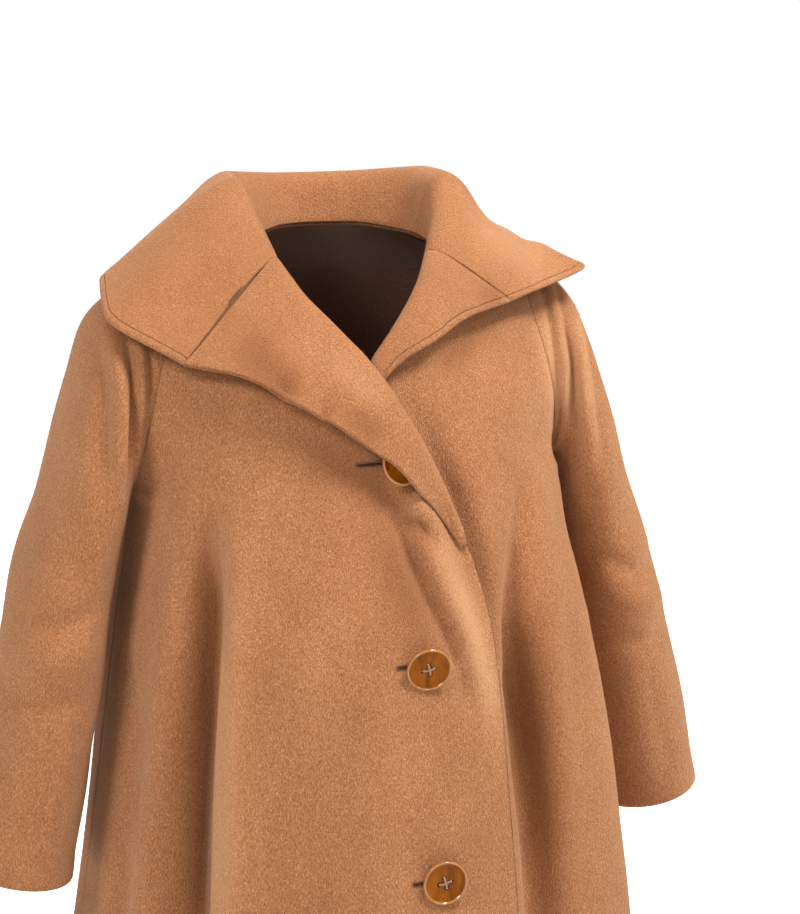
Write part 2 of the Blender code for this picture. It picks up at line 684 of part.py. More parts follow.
def main():
    for old in list(bpy.data.objects):
        bpy.data.objects.remove(old, do_unlink=True)
    fronts = {}
    starts = {}
    for side in ("right", "left"):
        fronts[side], starts[side] = front_grid(side)
    back = back_grid()
    collar = collar_grid(fronts, starts, back)
    sleeve = sleeve_grid()
    half_wall = CLOTH / 2
    top_near = -(half_wall + LAYER_GAP)
    top_far = top_near - TOP_LAYER

    collar_out = grid_normals(collar)
    if collar_out[BACK_COLUMNS + 4, 1, 1] < 0:
        collar_out = -collar_out
    front_out = {}
    for side in ("right", "left"):
        front_out[side] = grid_normals(fronts[side])
        if front_out[side][UNDERARM_ROW, 4, 1] > 0:
            front_out[side] = -front_out[side]
        seam_normals(fronts[side], front_out[side])
    back_out = grid_normals(back)
    if back_out[UNDERARM_ROW, BACK_COLUMNS, 1] < 0:
        back_out = -back_out
    seam_normals(back, back_out)
    back_out[:, -1] = mirrored(back_out[:, 0])

    # One slanted cut for the neck rim and the gorge seams
    neck_out = {}
    for side, lines in (("right", collar_out), ("left", collar_out[::-1])):
        own = mirrored(lines) if side == "right" else lines.copy()
        run = np.linspace(0, 4, BODY_COLUMNS)
        stand = np.stack([np.interp(run, np.arange(5), own[:5, 0, k]) for k in range(3)], 1)
        top = front_out[side][0].copy()
        gorge = unit(top[BODY_COLUMNS - 1:] + own[0])
        rim = unit(top[:BODY_COLUMNS] + stand[::-1])
        front_out[side][0, :BODY_COLUMNS] = rim
        front_out[side][0, BODY_COLUMNS - 1:] = gorge
        neck_out[side] = (gorge, rim)
    for j in range(1, 2 * BACK_COLUMNS):
        shared = unit(back_out[0, j] + collar_out_at(collar_out, j))
        back_out[0, j] = shared
    front_out["right"][0, 0] = unit(front_out["right"][0, 0] * np.array([1.0, 0.0, 1.0]))
    front_out["left"][0, 0] = unit(front_out["left"][0, 0] * np.array([1.0, 0.0, 1.0]))
    back_out[0, 0] = front_out["left"][0, 0]
    back_out[0, -1] = mirrored(front_out["right"][0, 0])
    for j in range(1, 2 * BACK_COLUMNS):
        collar_out[collar_index(j), 0] = back_out[0, j]
    for side, order in (("right", 1), ("left", -1)):
        gorge, rim = neck_out[side]
        lines = collar_out[::order]
        picked = np.stack([np.interp(np.linspace(0, BODY_COLUMNS - 1, 5), np.arange(BODY_COLUMNS),
                                     front_out[side][0, :BODY_COLUMNS][::-1][:, k]) for k in range(3)], 1)
        picked = unit(picked)
        lines[:5, 0] = mirrored(picked) if side == "right" else picked
        lines[0] = mirrored(gorge) if side == "right" else gorge

    # Seam gaps
    for side in ("right", "left"):
        side_gap(fronts[side], -1.0)
        fronts[side][0] += unit(fronts[side][1] - fronts[side][0]) * SEAM
        fronts[side][0, :BODY_COLUMNS] += unit(fronts[side][1] - fronts[side][0])[:BODY_COLUMNS] * SEAM
    side_gap(back, 1.0)
    back[:, -1] = mirrored(back[:, 0])
    back[0] += unit(back[1] - back[0]) * SEAM
    collar[:, 0] += unit(collar[:, 1] - collar[:, 0]) * NECK_SEAM
    collar[0] += unit(collar[1] - collar[0]) * SEAM
    collar[-1] += unit(collar[-2] - collar[-1]) * SEAM

    for side in ("right", "left"):
        grid = mirrored(fronts[side]) if side == "right" else fronts[side]
        out = mirrored(front_out[side]) if side == "right" else front_out[side]
        add_wall("front_" + side, grid, out, -half_wall, half_wall, CAMEL)
        count = FACING_ROWS[side]
        first = BODY_COLUMNS - 3
        layer = grid[:count, first:].copy()
        drop = np.array([0.92, 0.8, 0.25])[:, None]
        layer[0, :3] += (layer[1, :3] - layer[0, :3]) * drop
        layer_out = out[:count, first:].copy()
        layer_out[0, :3] = unit(layer_out[0, :3] + (layer_out[1, :3] - layer_out[0, :3]) * drop)
        layer[0, :3] -= layer_out[0, :3] * 0.8
        layer[1, :3] -= layer_out[1, :3] * 0.4
        add_wall("facing_" + side, layer, layer_out, top_far, top_near, CAMEL)
    add_wall("back", back, back_out, -half_wall, half_wall, CAMEL)
    inside = -(half_wall + LAYER_GAP)
    add_wall("lining", back[:LINING_ROWS, 2:-2], back_out[:LINING_ROWS, 2:-2],
             inside - LINING_CLOTH, inside, DARK_LINING)
    add_wall("under_collar", collar, collar_out, -half_wall, half_wall, CAMEL)
    add_wall("collar", collar, collar_out, top_far, top_near, CAMEL)

    sleeve_out = grid_normals(sleeve, True)
    if sleeve_out[5, 0, 0] < 0:
        sleeve_out = -sleeve_out
    sleeve_out[0] = armhole_normals(sleeve[0])
    add_wall("sleeve_left", sleeve, sleeve_out, -half_wall, half_wall, CAMEL, True)
    add_wall("sleeve_right", mirrored(sleeve), mirrored(sleeve_out), -half_wall, half_wall, CAMEL, True)
    for button in BUTTONS:
        add_button(button, bpy.data.objects["front_right"])


def collar_index(column):
    # Collar row over a back column: columns run from the viewer's right, collar rows from the left
    return 2 * (BACK_COLUMNS + 4) - 4 - column


def collar_out_at(normals, column):
    return normals[collar_index(column), 0]


main()
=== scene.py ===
import math

import bmesh
import bpy
import numpy as np
from mathutils import Matrix, Vector
from mathutils.bvhtree import BVHTree


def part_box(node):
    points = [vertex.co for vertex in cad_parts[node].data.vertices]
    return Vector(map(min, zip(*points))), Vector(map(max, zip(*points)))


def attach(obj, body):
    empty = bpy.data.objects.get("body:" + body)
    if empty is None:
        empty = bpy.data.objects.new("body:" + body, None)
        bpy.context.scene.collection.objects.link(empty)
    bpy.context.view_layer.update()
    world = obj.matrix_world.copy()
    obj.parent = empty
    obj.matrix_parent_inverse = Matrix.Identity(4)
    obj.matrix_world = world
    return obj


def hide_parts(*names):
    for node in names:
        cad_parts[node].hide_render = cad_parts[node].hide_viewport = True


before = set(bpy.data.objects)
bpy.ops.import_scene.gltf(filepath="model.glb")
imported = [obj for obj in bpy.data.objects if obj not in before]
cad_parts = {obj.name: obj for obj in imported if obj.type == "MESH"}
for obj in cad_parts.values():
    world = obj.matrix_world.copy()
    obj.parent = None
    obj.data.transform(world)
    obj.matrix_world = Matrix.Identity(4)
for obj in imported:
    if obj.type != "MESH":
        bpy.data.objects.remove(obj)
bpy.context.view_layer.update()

mm = 0.001
scene = bpy.context.scene
flip = np.array([-1.0, 1.0, 1.0])  # the right front and right sleeve are worked as left ones and mirrored
print("frame loaded:", len(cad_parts), "nodes")


# curves and tables


def smooth(value):
    value = np.clip(value, 0.0, 1.0)
    return value * value * (3.0 - 2.0 * value)


def rising(value, start, width):  # 0 up to the start, 1 from a width later
    return smooth((value - start) / width)


def falling(value, end, width):  # 1 up to a width before the end, 0 from there
    return smooth((end - value) / width)


def mix(first, second, share):
    return first + (second - first) * share


def unit(vectors):
    vectors = np.asarray(vectors, float)
    return vectors / np.maximum(np.linalg.norm(vectors, axis=-1, keepdims=True), 1e-9)


def through(keys, values, where):  # curve through a table that never swings past its rows
    order = np.argsort(keys)
    keys = np.asarray(keys, float)[order]
    values = np.asarray(values, float)[order]
    where = np.clip(where, keys[0], keys[-1])
    step = np.diff(keys)
    rise = np.diff(values) / step
    slope = np.zeros(len(keys))
    slope[0], slope[-1] = rise[0], rise[-1]
    for i in range(1, len(keys) - 1):
        if rise[i - 1] * rise[i] > 0:
            first = 2 * step[i] + step[i - 1]
            second = step[i] + 2 * step[i - 1]
            slope[i] = (first + second) / (first / rise[i - 1] + second / rise[i])
    spot = np.clip(np.searchsorted(keys, where) - 1, 0, len(keys) - 2)
    part = (where - keys[spot]) / step[spot]
    curve = values[spot] + (values[spot + 1] - values[spot]) * part * part * (3 - 2 * part)
    return curve + part * (1 - part) * step[spot] * (slope[spot] * (1 - part) - slope[spot + 1] * part)


def lookUp(table, column, where, key="height"):
    return through(table[key], table[column], where)


def runOf(line):  # distance along a row of points
    return np.concatenate([[0.0], np.cumsum(np.linalg.norm(np.diff(line, axis=0), axis=1))])


def pick(line, where):  # points of a line at given distances along it
    run = runOf(line)
    return np.stack([np.interp(where, run, line[:, k]) for k in range(3)], 1)


# shape of the worn coat, millimetres

cloth = dict(wall=3.0, topLayer=2.4, lining=1.2, layerGap=0.3)

levels = dict(shoulderTip=-45.0, underarm=-235.0, hem=-950.0, napeRise=6.0, underReach=-45.0)

bodyCut = dict(
    height=[6, 0, -20, -45, -67, -100, -130, -188, -235, -290, -351, -430, -500, -600, -720, -840, -950],
    halfWidth=[66, 80, 130, 192, 212, 225, 228, 222, 205, 211, 221, 232, 242, 256, 275, 290, 302],
    front=[40, 46, 58, 76, 90, 108, 121, 140, 152, 172, 195, 211, 225, 245, 262, 277, 290],
    back=[66, 70, 86, 100, 106, 111, 114, 117, 121, 133, 150, 164, 175, 190, 207, 224, 240],
    squareness=[2.0, 2.0, 2.0, 2.0, 2.05, 2.1, 2.1, 2.2, 2.6, 2.5, 2.4, 2.35, 2.3, 2.25, 2.15, 2.1, 2.1],
)

armhole = dict(
    height=[-45, -52, -63, -82, -104, -128, -153, -177, -199, -218, -235],
    frontX=[192, 185, 180, 182, 187, 193, 199, 203, 206, 207, 205],
    frontY=[0, -27, -44, -56, -64, -67, -65, -58, -46, -28, 0],
    backX=[192, 187, 183, 183, 185, 190, 196, 201, 205, 207, 205],
    backY=[0, 27, 43, 57, 66, 70, 69, 61, 48, 29, 0],
)

frontEdge = dict(  # roll line above the break, front edge below it
    height=[-9, -42, -80, -114, -139, -174, -215, -261, -311, -354, -447, -950],
    right=[80, 65, 37, 9, -7, -26, -45, -62, -76, -82, -87, -92],
    left=[80, 58, 25, -5, -19, -34, -48, -63, -76, -82, -87, -92],
)

edgeDrop = dict(height=[0, -45, -104, -177, -235], drop=[20, 24, 18, 9, 0])

lapels = dict(
    right=dict(
        roll=[-20, -40, -66, -86, -118, -163, -201, -235, -262, -290, -318, -360, -950],
        across=[166, 126, 86, 60, 28, -4, -19, -42, -59, -69, -76, -80, -85],
        height=[-108, -115, -135, -151, -175, -199, -217, -242, -266, -292, -319, -360, -950],
        lift=[20, 20, 19, 19, 18, 17, 14, 5, 1, 1, 1, 0, 0],
        radius=[7, 7, 6.5, 6.5, 6.5, 6.5, 6.5, 6.0, 5.6, 5.2, 4.8, 4.6, 4.6],
        turn=[1, 1, 1, 1, 1, 1, 1, 1, 0.8, 0, 0, 0, 0],
    ),
    left=dict(
        roll=[-20, -42, -66, -86, -104, -122, -143, -950],
        across=[139, 96, 57, 34, 17, 6, -8, -45],
        height=[-70, -77, -94, -105, -115, -124, -143, -950],
        lift=[20, 18, 16, 14, 10.5, 8.5, 0, 0],
        radius=[7, 6.5, 5.5, 5, 4.2, 3.8, 4, 4],
        turn=[1, 1, 1, 1, 1, 1, 0, 0],
    ),
)

overlap = dict(  # how far each front stands off the chest where the two cross
    height=[0, -55, -90, -106, -122, -155, -220, -350, -950],
    right=[0, 0, 11, 15, 15, 11, 6, 5, 5],
    left=[0, 0, -3, -5, -5, -5, -4.5, -4.5, -4.5],
    reach=170.0, fade=90.0,  # how far from the middle
)

collarCut = dict(  # crest and outer edge from the gorge seam to the middle of the back
    along=[0.12, 0.24, 0.45, 0.65, 0.83, 1.0],
    crest=[(92, -30, 27), (101, -11, 55), (98, 26, 57), (73, 55, 54), (38, 73, 51), (0, 80, 50)],
    edge=[(239, -45, -36), (226, 6, -35), (202, 52, -38), (150, 97, -42), (78, 120, -46), (0, 126, -48)],
    rightTip=(236, -52, -60),
    columns=(22, 18, 70), lean=0.25, roll=0.12, rise=0.45, reach=9.0, fall=20.0,
)

sleeveRings = dict(
    outerX=[192, 218, 239, 252, 265, 280, 298, 321, 344, 365, 383],
    outerZ=[-45, -49, -68, -99, -140, -190, -246, -316, -396, -481, -575],
    innerX=[205, 212.5, 217, 221, 225, 230, 236, 244, 254, 265, 278],
    innerZ=[-235, -240, -252, -272, -300, -332, -367, -413, -466, -526, -598],
    halfDepth=[68, 72, 78, 80, 79, 78, 76, 74, 71, 68, 64],
    forward=[0, 0, 0, 0, 0, -1, -3, -6, -9, -12, -15],
    blend=[0, 0.3, 0.7, 1, 1, 1, 1, 1, 1, 1, 1],
)

folds = [  # panel, place at top and hem, start, full depth at, depth, width
    ("left", 0.385, 0.33, -270, -480, -24, 0.075),
    ("left", 0.62, 0.58, -200, -430, 27, 0.12),
    ("left", 0.84, 0.84, -330, -800, -14, 0.07),
    ("right", 0.28, 0.26, -300, -700, -13, 0.08),
    ("right", 0.47, 0.44, -150, -360, 12, 0.065),
    ("right", 0.575, 0.555, -225, -330, -36, 0.06),
    ("right", 0.69, 0.68, -260, -480, 8, 0.06),
    ("right", 0.80, 0.81, -280, -520, -15, 0.06),
    ("back", 0.00, 0.00, -330, -860, -15, 0.10),
    ("back", 0.24, 0.22, -260, -740, 12, 0.09),
    ("back", 0.47, 0.45, -220, -700, -18, 0.09),
    ("back", 0.70, 0.72, -360, -820, 11, 0.08),
]
cutShape = dict(pullFrom=0.25, foldCalm=0.14)  # shares of a cut: where it bends to its seam, what stays even there
sleeveRows = dict(head=3, headRows=34, armRows=98)  # the first rings, with their rows, and the rows of the rest
fine = dict(armhole=241, armholeStep=24, bodySkip=5, sleeveSkip=3, places=281, cut=121, chestStep=1.5, skirtStep=2.0,
            probe=4.0, shoulderRows=14, skirtRows=132)  # points, steps and rows


def armholeLine(face):  # rounded at the shoulder tip and under the arm
    far = "back" if face == "front" else "front"
    size = len(armhole["height"])

    def row(which, i):
        return armhole[which + "X"][i], armhole[which + "Y"][i], armhole["height"][i]

    keys = np.array([row(far, 1)] + [row(face, i) for i in range(size)] + [row(far, size - 2)], float)
    t = np.linspace(0, 1, fine["armholeStep"], endpoint=False)[:, None]
    dense = [0.5 * (2 * b + (c - a) * t + (2 * a - 5 * b + 4 * c - d) * t * t + (3 * b - a - 3 * c + d) * t ** 3)
             for a, b, c, d in zip(keys, keys[1:], keys[2:], keys[3:])]
    dense = np.concatenate(dense + [keys[-2:-1]])
    dense[:, 2] = np.minimum.accumulate(np.clip(dense[:, 2], levels["underarm"], levels["shoulderTip"]))
    return pick(dense, np.linspace(0, runOf(dense)[-1], fine["armhole"]))


armholeFine = {face: armholeLine(face) for face in ("front", "back")}


def sidePoint(height, face):  # where a panel ends: shoulder seam, armhole or side seam
    if height >= levels["shoulderTip"] or height <= levels["underarm"]:
        return np.array([float(lookUp(bodyCut, "halfWidth", height)), 0.0])
    line = armholeFine[face][::-1]
    return np.array([np.interp(height, line[:, 2], line[:, 0]), np.interp(height, line[:, 2], line[:, 1])])


class PanelSurface:  # one body panel as level cuts, read back by place and height
    places = np.linspace(-1.0, 1.0, fine["places"])

    def __init__(self, panel):
        self.panel = panel
        face = "back" if panel == "back" else "front"
        tall = np.concatenate([np.arange(levels["napeRise"], levels["shoulderTip"], -fine["chestStep"]),
                               armholeFine[face][:, 2],
                               np.arange(levels["underarm"] - 1, levels["hem"] - 1, -fine["skirtStep"])])
        self.heights = np.unique(np.round(np.append(tall, [levels["shoulderTip"], levels["hem"]]), 4))
        self.table = np.array([self.levelCut(face, height) for height in self.heights])

    def levelCut(self, face, height):
        sign = 1.0 if face == "back" else -1.0
        width, depth, square = (float(lookUp(bodyCut, name, height)) for name in ("halfWidth", face, "squareness"))
        power = 2.0 / square
        end = sidePoint(height, face)
        last = math.asin(min(min(end[0] / width, 1.0) ** (1.0 / power), 1.0))
        turn, part = np.linspace(0.0, last, fine["cut"]), np.linspace(0.0, 1.0, fine["cut"])
        x = width * np.sin(turn) ** power
        y = sign * depth * np.clip(np.cos(turn), 0, 1) ** power
        pull = rising(part, cutShape["pullFrom"], 1.0 - cutShape["pullFrom"])
        x = x + (end[0] - x[-1]) * pull
        y = y + (end[1] - y[-1]) * pull
        if self.panel != "back":
            y = y - float(lookUp(overlap, self.panel, height)) * falling(x, overlap["reach"], overlap["fade"])
        line = np.stack([np.concatenate([-x[:0:-1], x]), np.concatenate([y[:0:-1], y])], 1)
        run = runOf(line)
        middle = len(run) // 2
        run = (run - run[middle]) / (run[-1] - run[middle])
        across = np.gradient(line, axis=0)
        normal = unit(np.stack([across[:, 1], -across[:, 0]], 1)) * -sign
        line = line + normal * self.foldDepth(run, height)[:, None]
        return np.stack([np.interp(self.places, run, line[:, k]) for k in range(2)], 1)

    def foldDepth(self, place, height):
        total = np.zeros_like(place)
        for panel, top, low, start, full, depth, width in folds:
            if panel == self.panel:
                middle = mix(top, low, np.clip((height - start) / (levels["hem"] - start), 0, 1))
                total += depth * rising(height, start, full - start) * np.exp(-((place - middle) / width) ** 2)
        return total * falling(place, 1.0, cutShape["foldCalm"])

    def at(self, place, height):
        place, height = np.broadcast_arrays(np.asarray(place, float), np.asarray(height, float))
        height = np.clip(height, self.heights[0], self.heights[-1])
        i = np.clip(np.searchsorted(self.heights, height) - 1, 0, len(self.heights) - 2)
        v = (height - self.heights[i]) / (self.heights[i + 1] - self.heights[i])
        h = np.clip((place + 1.0) / 2.0, 0, 1) * (len(self.places) - 1)
        j = np.clip(h.astype(int), 0, len(self.places) - 2)
        h = (h - j)[..., None]
        v = v[..., None]
        low = self.table[i, j] * (1 - h) + self.table[i, j + 1] * h
        high = self.table[i + 1, j] * (1 - h) + self.table[i + 1, j + 1] * h
        flat = low * (1 - v) + high * v
        return np.concatenate([flat, height[..., None]], -1)

    def placeOf(self, across, height):
        cut = self.at(self.places, np.full(len(self.places), height))
        return float(np.interp(across, cut[:, 0], self.places))

    def frameAt(self, across, height):  # point, direction across and outward normal
        def spot(x, z):
            return self.at(self.placeOf(x, z), z)
        step = fine["probe"]
        along = spot(across + step, height) - spot(across - step, height)
        down = spot(across, height - step) - spot(across, height + step)
        out = unit(np.cross(down, along))
        return spot(across, height), unit(along), out if out[1] < 0 else -out


surfaces = {panel: PanelSurface(panel) for panel in ("right", "left", "back")}
print("panel surfaces ready")


# turned cloth: lapels and collar


def bezier(start, first, second, end, count):
    t = np.linspace(0.0, 1.0, count)[:, None]
    return (1 - t) ** 3 * start + 3 * t * (1 - t) ** 2 * first + 3 * t * t * (1 - t) * second + t ** 3 * end


turnColumns = dict(up=9, fall=20, lip=[9.0, 7.7, 6.9, 6.4, 6.0, 5.4, 4.6, 3.8, 0.0], upFine=40, fallFine=90,
                   bunch=1.35, fullFall=24.0)  # the lip in millimetres from the free edge, where the fall is full
lapelBend = dict(flat=5.0, curl=0.55, over=1.9, overMost=0.5, arrive=0.36)  # the first in millimetres, then shares


def turnLine(turn):  # leaves a seam or a roll line, passes its crest and falls to its free edge
    up = bezier(turn["base"], turn["base"] + turn["leave"] * turn["rise"],
                turn["crest"] - turn["over"] * turn["reach"], turn["crest"], turnColumns["upFine"])
    down = bezier(turn["crest"], turn["crest"] + turn["over"] * turn["fall"],
                  turn["edge"] - turn["arrive"], turn["edge"], turnColumns["fallFine"])
    upSpots = np.linspace(0, runOf(up)[-1], turnColumns["up"] + 1)
    length = runOf(down)[-1]
    lip = length - np.array(turnColumns["lip"]) * min(1.0, length / turnColumns["fullFall"])
    fall = lip[0] * np.linspace(0, 1, turnColumns["fall"] + 1)[1:] ** turnColumns["bunch"]
    return np.concatenate([pick(up, upSpots), pick(down, fall), pick(down, lip[1:])])


def lapelTurn(side, base, along, out, level):
    table = lapels[side]
    radius, turned, across, height, lift = (float(through(table["roll"], table[name], level))
                                            for name in ("radius", "turn", "across", "height", "lift"))
    towards, curl = -along, radius * lapelBend["curl"]
    crest = base + towards * radius + out * radius * turned
    over = unit(out * turned + towards * (1.0 - turned))
    ground, _, groundOut = surfaces[side].frameAt(across, height)
    edge = mix(crest + towards * lapelBend["flat"], ground + groundOut * lift, smooth(turned))
    chord = np.linalg.norm(edge - crest)
    return dict(base=base, leave=towards, rise=curl, crest=crest, over=over, reach=curl, edge=edge,
                fall=min(radius * lapelBend["over"], chord * lapelBend["overMost"]),
                arrive=unit(edge - crest) * chord * lapelBend["arrive"])


bodyColumns = 66
backColumns = 62
lowRows = np.linspace(levels["underarm"], levels["hem"], fine["skirtRows"])[1:]


def panelLevels(face):
    chest = np.linspace(0, levels["shoulderTip"], fine["shoulderRows"])[:-1]
    return np.concatenate([chest, armholeFine[face][::fine["bodySkip"], 2], lowRows])


def frontGrid(side):  # rows run down from the neck, columns from the side seam to the free edge
    surface = surfaces[side]
    part = np.linspace(1.0, 0.0, bodyColumns)
    rows, lows, first = [], [], None
    for level in panelLevels("front"):
        low = level - float(lookUp(edgeDrop, "drop", level))
        across = float(lookUp(frontEdge, side, low))
        if side == "left":
            across = max(across, levels["underReach"])
        across += float(through(lapels[side]["roll"], lapels[side]["radius"], low))
        body = surface.at(mix(surface.placeOf(across, low), 1.0, part), mix(low, level, part))
        turn = lapelTurn(side, body[-1], *surface.frameAt(across, low)[1:], low)
        first = first or turn
        rows.append(np.concatenate([body, turnLine(turn)[1:]]))
        lows.append(low)
    return np.array(rows), np.array(lows), first


nape = dict(reach=120.0, steep=1.6)  # how far down the rise at the nape is felt, and how soon it is full


def backGrid():
    part = np.linspace(1.0, 0.0, backColumns + 1)
    rows = []
    for level in panelLevels("back"):
        rise = levels["napeRise"] * float(smooth(1.0 + level / nape["reach"]))
        half = surfaces["back"].at(part, level + rise * smooth((1.0 - part) * nape["steep"]))
        rows.append(np.concatenate([half, half[-2::-1] * flip]))
    return np.array(rows)


def collarHalf(side, first, baseLine, neck):
    run, keys = runOf(baseLine), [0.0] + collarCut["along"]
    ends = [0.0, keys[1], keys[2], 1.0]  # gorge seam, tip, shoulder seam, middle of the back
    places = np.concatenate([np.linspace(a, b, count)[min(k, 1):] for k, (a, b, count)
                             in enumerate(zip(ends, ends[1:], collarCut["columns"]))])
    beyond = neck + (places - ends[2]) / (1 - ends[2]) * (run[-1] - neck)
    bases = pick(baseLine, np.where(places <= ends[2], places / ends[2] * neck, beyond))
    crests = np.array([first["crest"]] + collarCut["crest"], float)
    edges = np.array([first["edge"]] + collarCut["edge"], float)
    if side == "right":
        edges[1] = collarCut["rightTip"]
    level, upward = np.array([1.0, 1.0, 0.0]), np.array([0.0, 0.0, 1.0])
    lines = []
    for place, base in zip(places, bases):
        crest, edge = (np.array([float(through(keys, table[:, k], place)) for k in range(3)])
                       for table in (crests, edges))
        grown = float(smooth(place / ends[2]))
        away = unit((edge - base) * level)
        leave = unit(first["leave"] * (1 - grown) + unit(upward + collarCut["lean"] * away) * grown)
        over = unit(first["over"] * (1 - grown) + unit(away + collarCut["roll"] * upward) * grown)
        rise = np.linalg.norm(crest - base) * collarCut["rise"]
        lines.append(turnLine(dict(
            base=base, leave=leave, rise=mix(first["rise"], rise, grown), crest=crest, over=over,
            reach=mix(first["reach"], collarCut["reach"], grown), fall=mix(first["fall"], collarCut["fall"], grown),
            edge=edge, arrive=unit(edge - crest) * np.linalg.norm(edge - crest) * lapelBend["arrive"])))
    return np.array(lines)


def sleeveGrid():
    front, back = (armholeFine[face][::fine["sleeveSkip"]] for face in ("front", "back"))
    loop = np.concatenate([front, back[-2:0:-1]])
    angle = [runOf(edge) / runOf(edge)[-1] * math.pi for edge in (front, back)]
    around = np.concatenate([angle[0], 2 * math.pi - angle[1][-2:0:-1]])
    share = (1 + np.cos(around))[:, None] / 2
    top, low = loop[0], loop[len(front) - 1]
    index = np.arange(len(sleeveRings["blend"]))
    head = np.linspace(0, sleeveRows["head"], sleeveRows["headRows"])[:-1]
    rings = []
    for step in np.concatenate([head, np.linspace(sleeveRows["head"], index[-1], sleeveRows["armRows"])]):
        value = {name: float(through(index, column, step)) for name, column in sleeveRings.items()}
        outer, inner = (np.array([value[end + "X"], value["forward"], value[end + "Z"]]) for end in ("outer", "inner"))
        oval = ((outer + inner) / 2 + np.cos(around)[:, None] * (outer - inner) / 2
                - np.sin(around)[:, None] * np.array([0.0, value["halfDepth"], 0.0]))
        moved = loop + share * (outer - top) + (1 - share) * (inner - low)
        rings.append(mix(moved, oval, value["blend"]))
    return np.array(rings)


fronts, lowEdges, gorges = {}, {}, {}
for side in ("right", "left"):
    fronts[side], lowEdges[side], gorges[side] = frontGrid(side)
back = backGrid()
halves = []
for side in ("right", "left"):
    frontRim = fronts[side][0, :bodyColumns][::-1]
    baseLine = np.concatenate([frontRim, back[0, 1:backColumns + 1]])
    half = collarHalf(side, gorges[side], baseLine, runOf(frontRim)[-1])
    halves.append(half * flip if side == "right" else half)
collar = np.concatenate([halves[0], halves[1][-2::-1]])
sleeve = sleeveGrid()
print("grids:", fronts["right"].shape, back.shape, collar.shape, sleeve.shape)


def gridNormals(grid, closed=False):
    down = np.gradient(grid, axis=0)
    across = np.roll(grid, -1, 1) - np.roll(grid, 1, 1) if closed else np.gradient(grid, axis=1)
    return unit(np.cross(down, across))


def outward(normals, sample, axis, sign):  # turns the whole field so that one sample faces the right way
    return normals if normals[sample][axis] * sign > 0 else -normals


evened = dict(below=5, reach=120.0, spread=22.0, side=14.0, roll=4, rollFade=10.0)  # round the underarm


def ease(grid, border):  # evens out the kink across the level of the underarm
    run = np.concatenate([np.zeros((1, grid.shape[1])),
                          np.cumsum(np.linalg.norm(np.diff(grid, axis=0), axis=-1), 0)])
    soft = grid.copy()
    for j in range(grid.shape[1]):
        gap = np.gradient(run[:, j])
        weight = np.exp(-0.5 * ((run[:, j][:, None] - run[:, j][None]) / evened["spread"]) ** 2) * gap[None]
        soft[:, j] = weight @ grid[:, j] / weight.sum(1, keepdims=True)
    level = levels["underarm"] - evened["below"]
    mask = smooth(1.0 - np.abs(grid[..., 2] - level) / evened["reach"]) * border[None]
    return mix(grid, soft, mask[..., None])


column = np.arange(fronts["left"].shape[1])
border = rising(column, 0, evened["side"]) * falling(column, bodyColumns - evened["roll"], evened["rollFade"])
for side in fronts:
    fronts[side] = ease(fronts[side], border)
column = np.arange(back.shape[1])
back = ease(back, rising(column, 0, evened["side"]) * falling(column, len(column) - 1, evened["side"]))

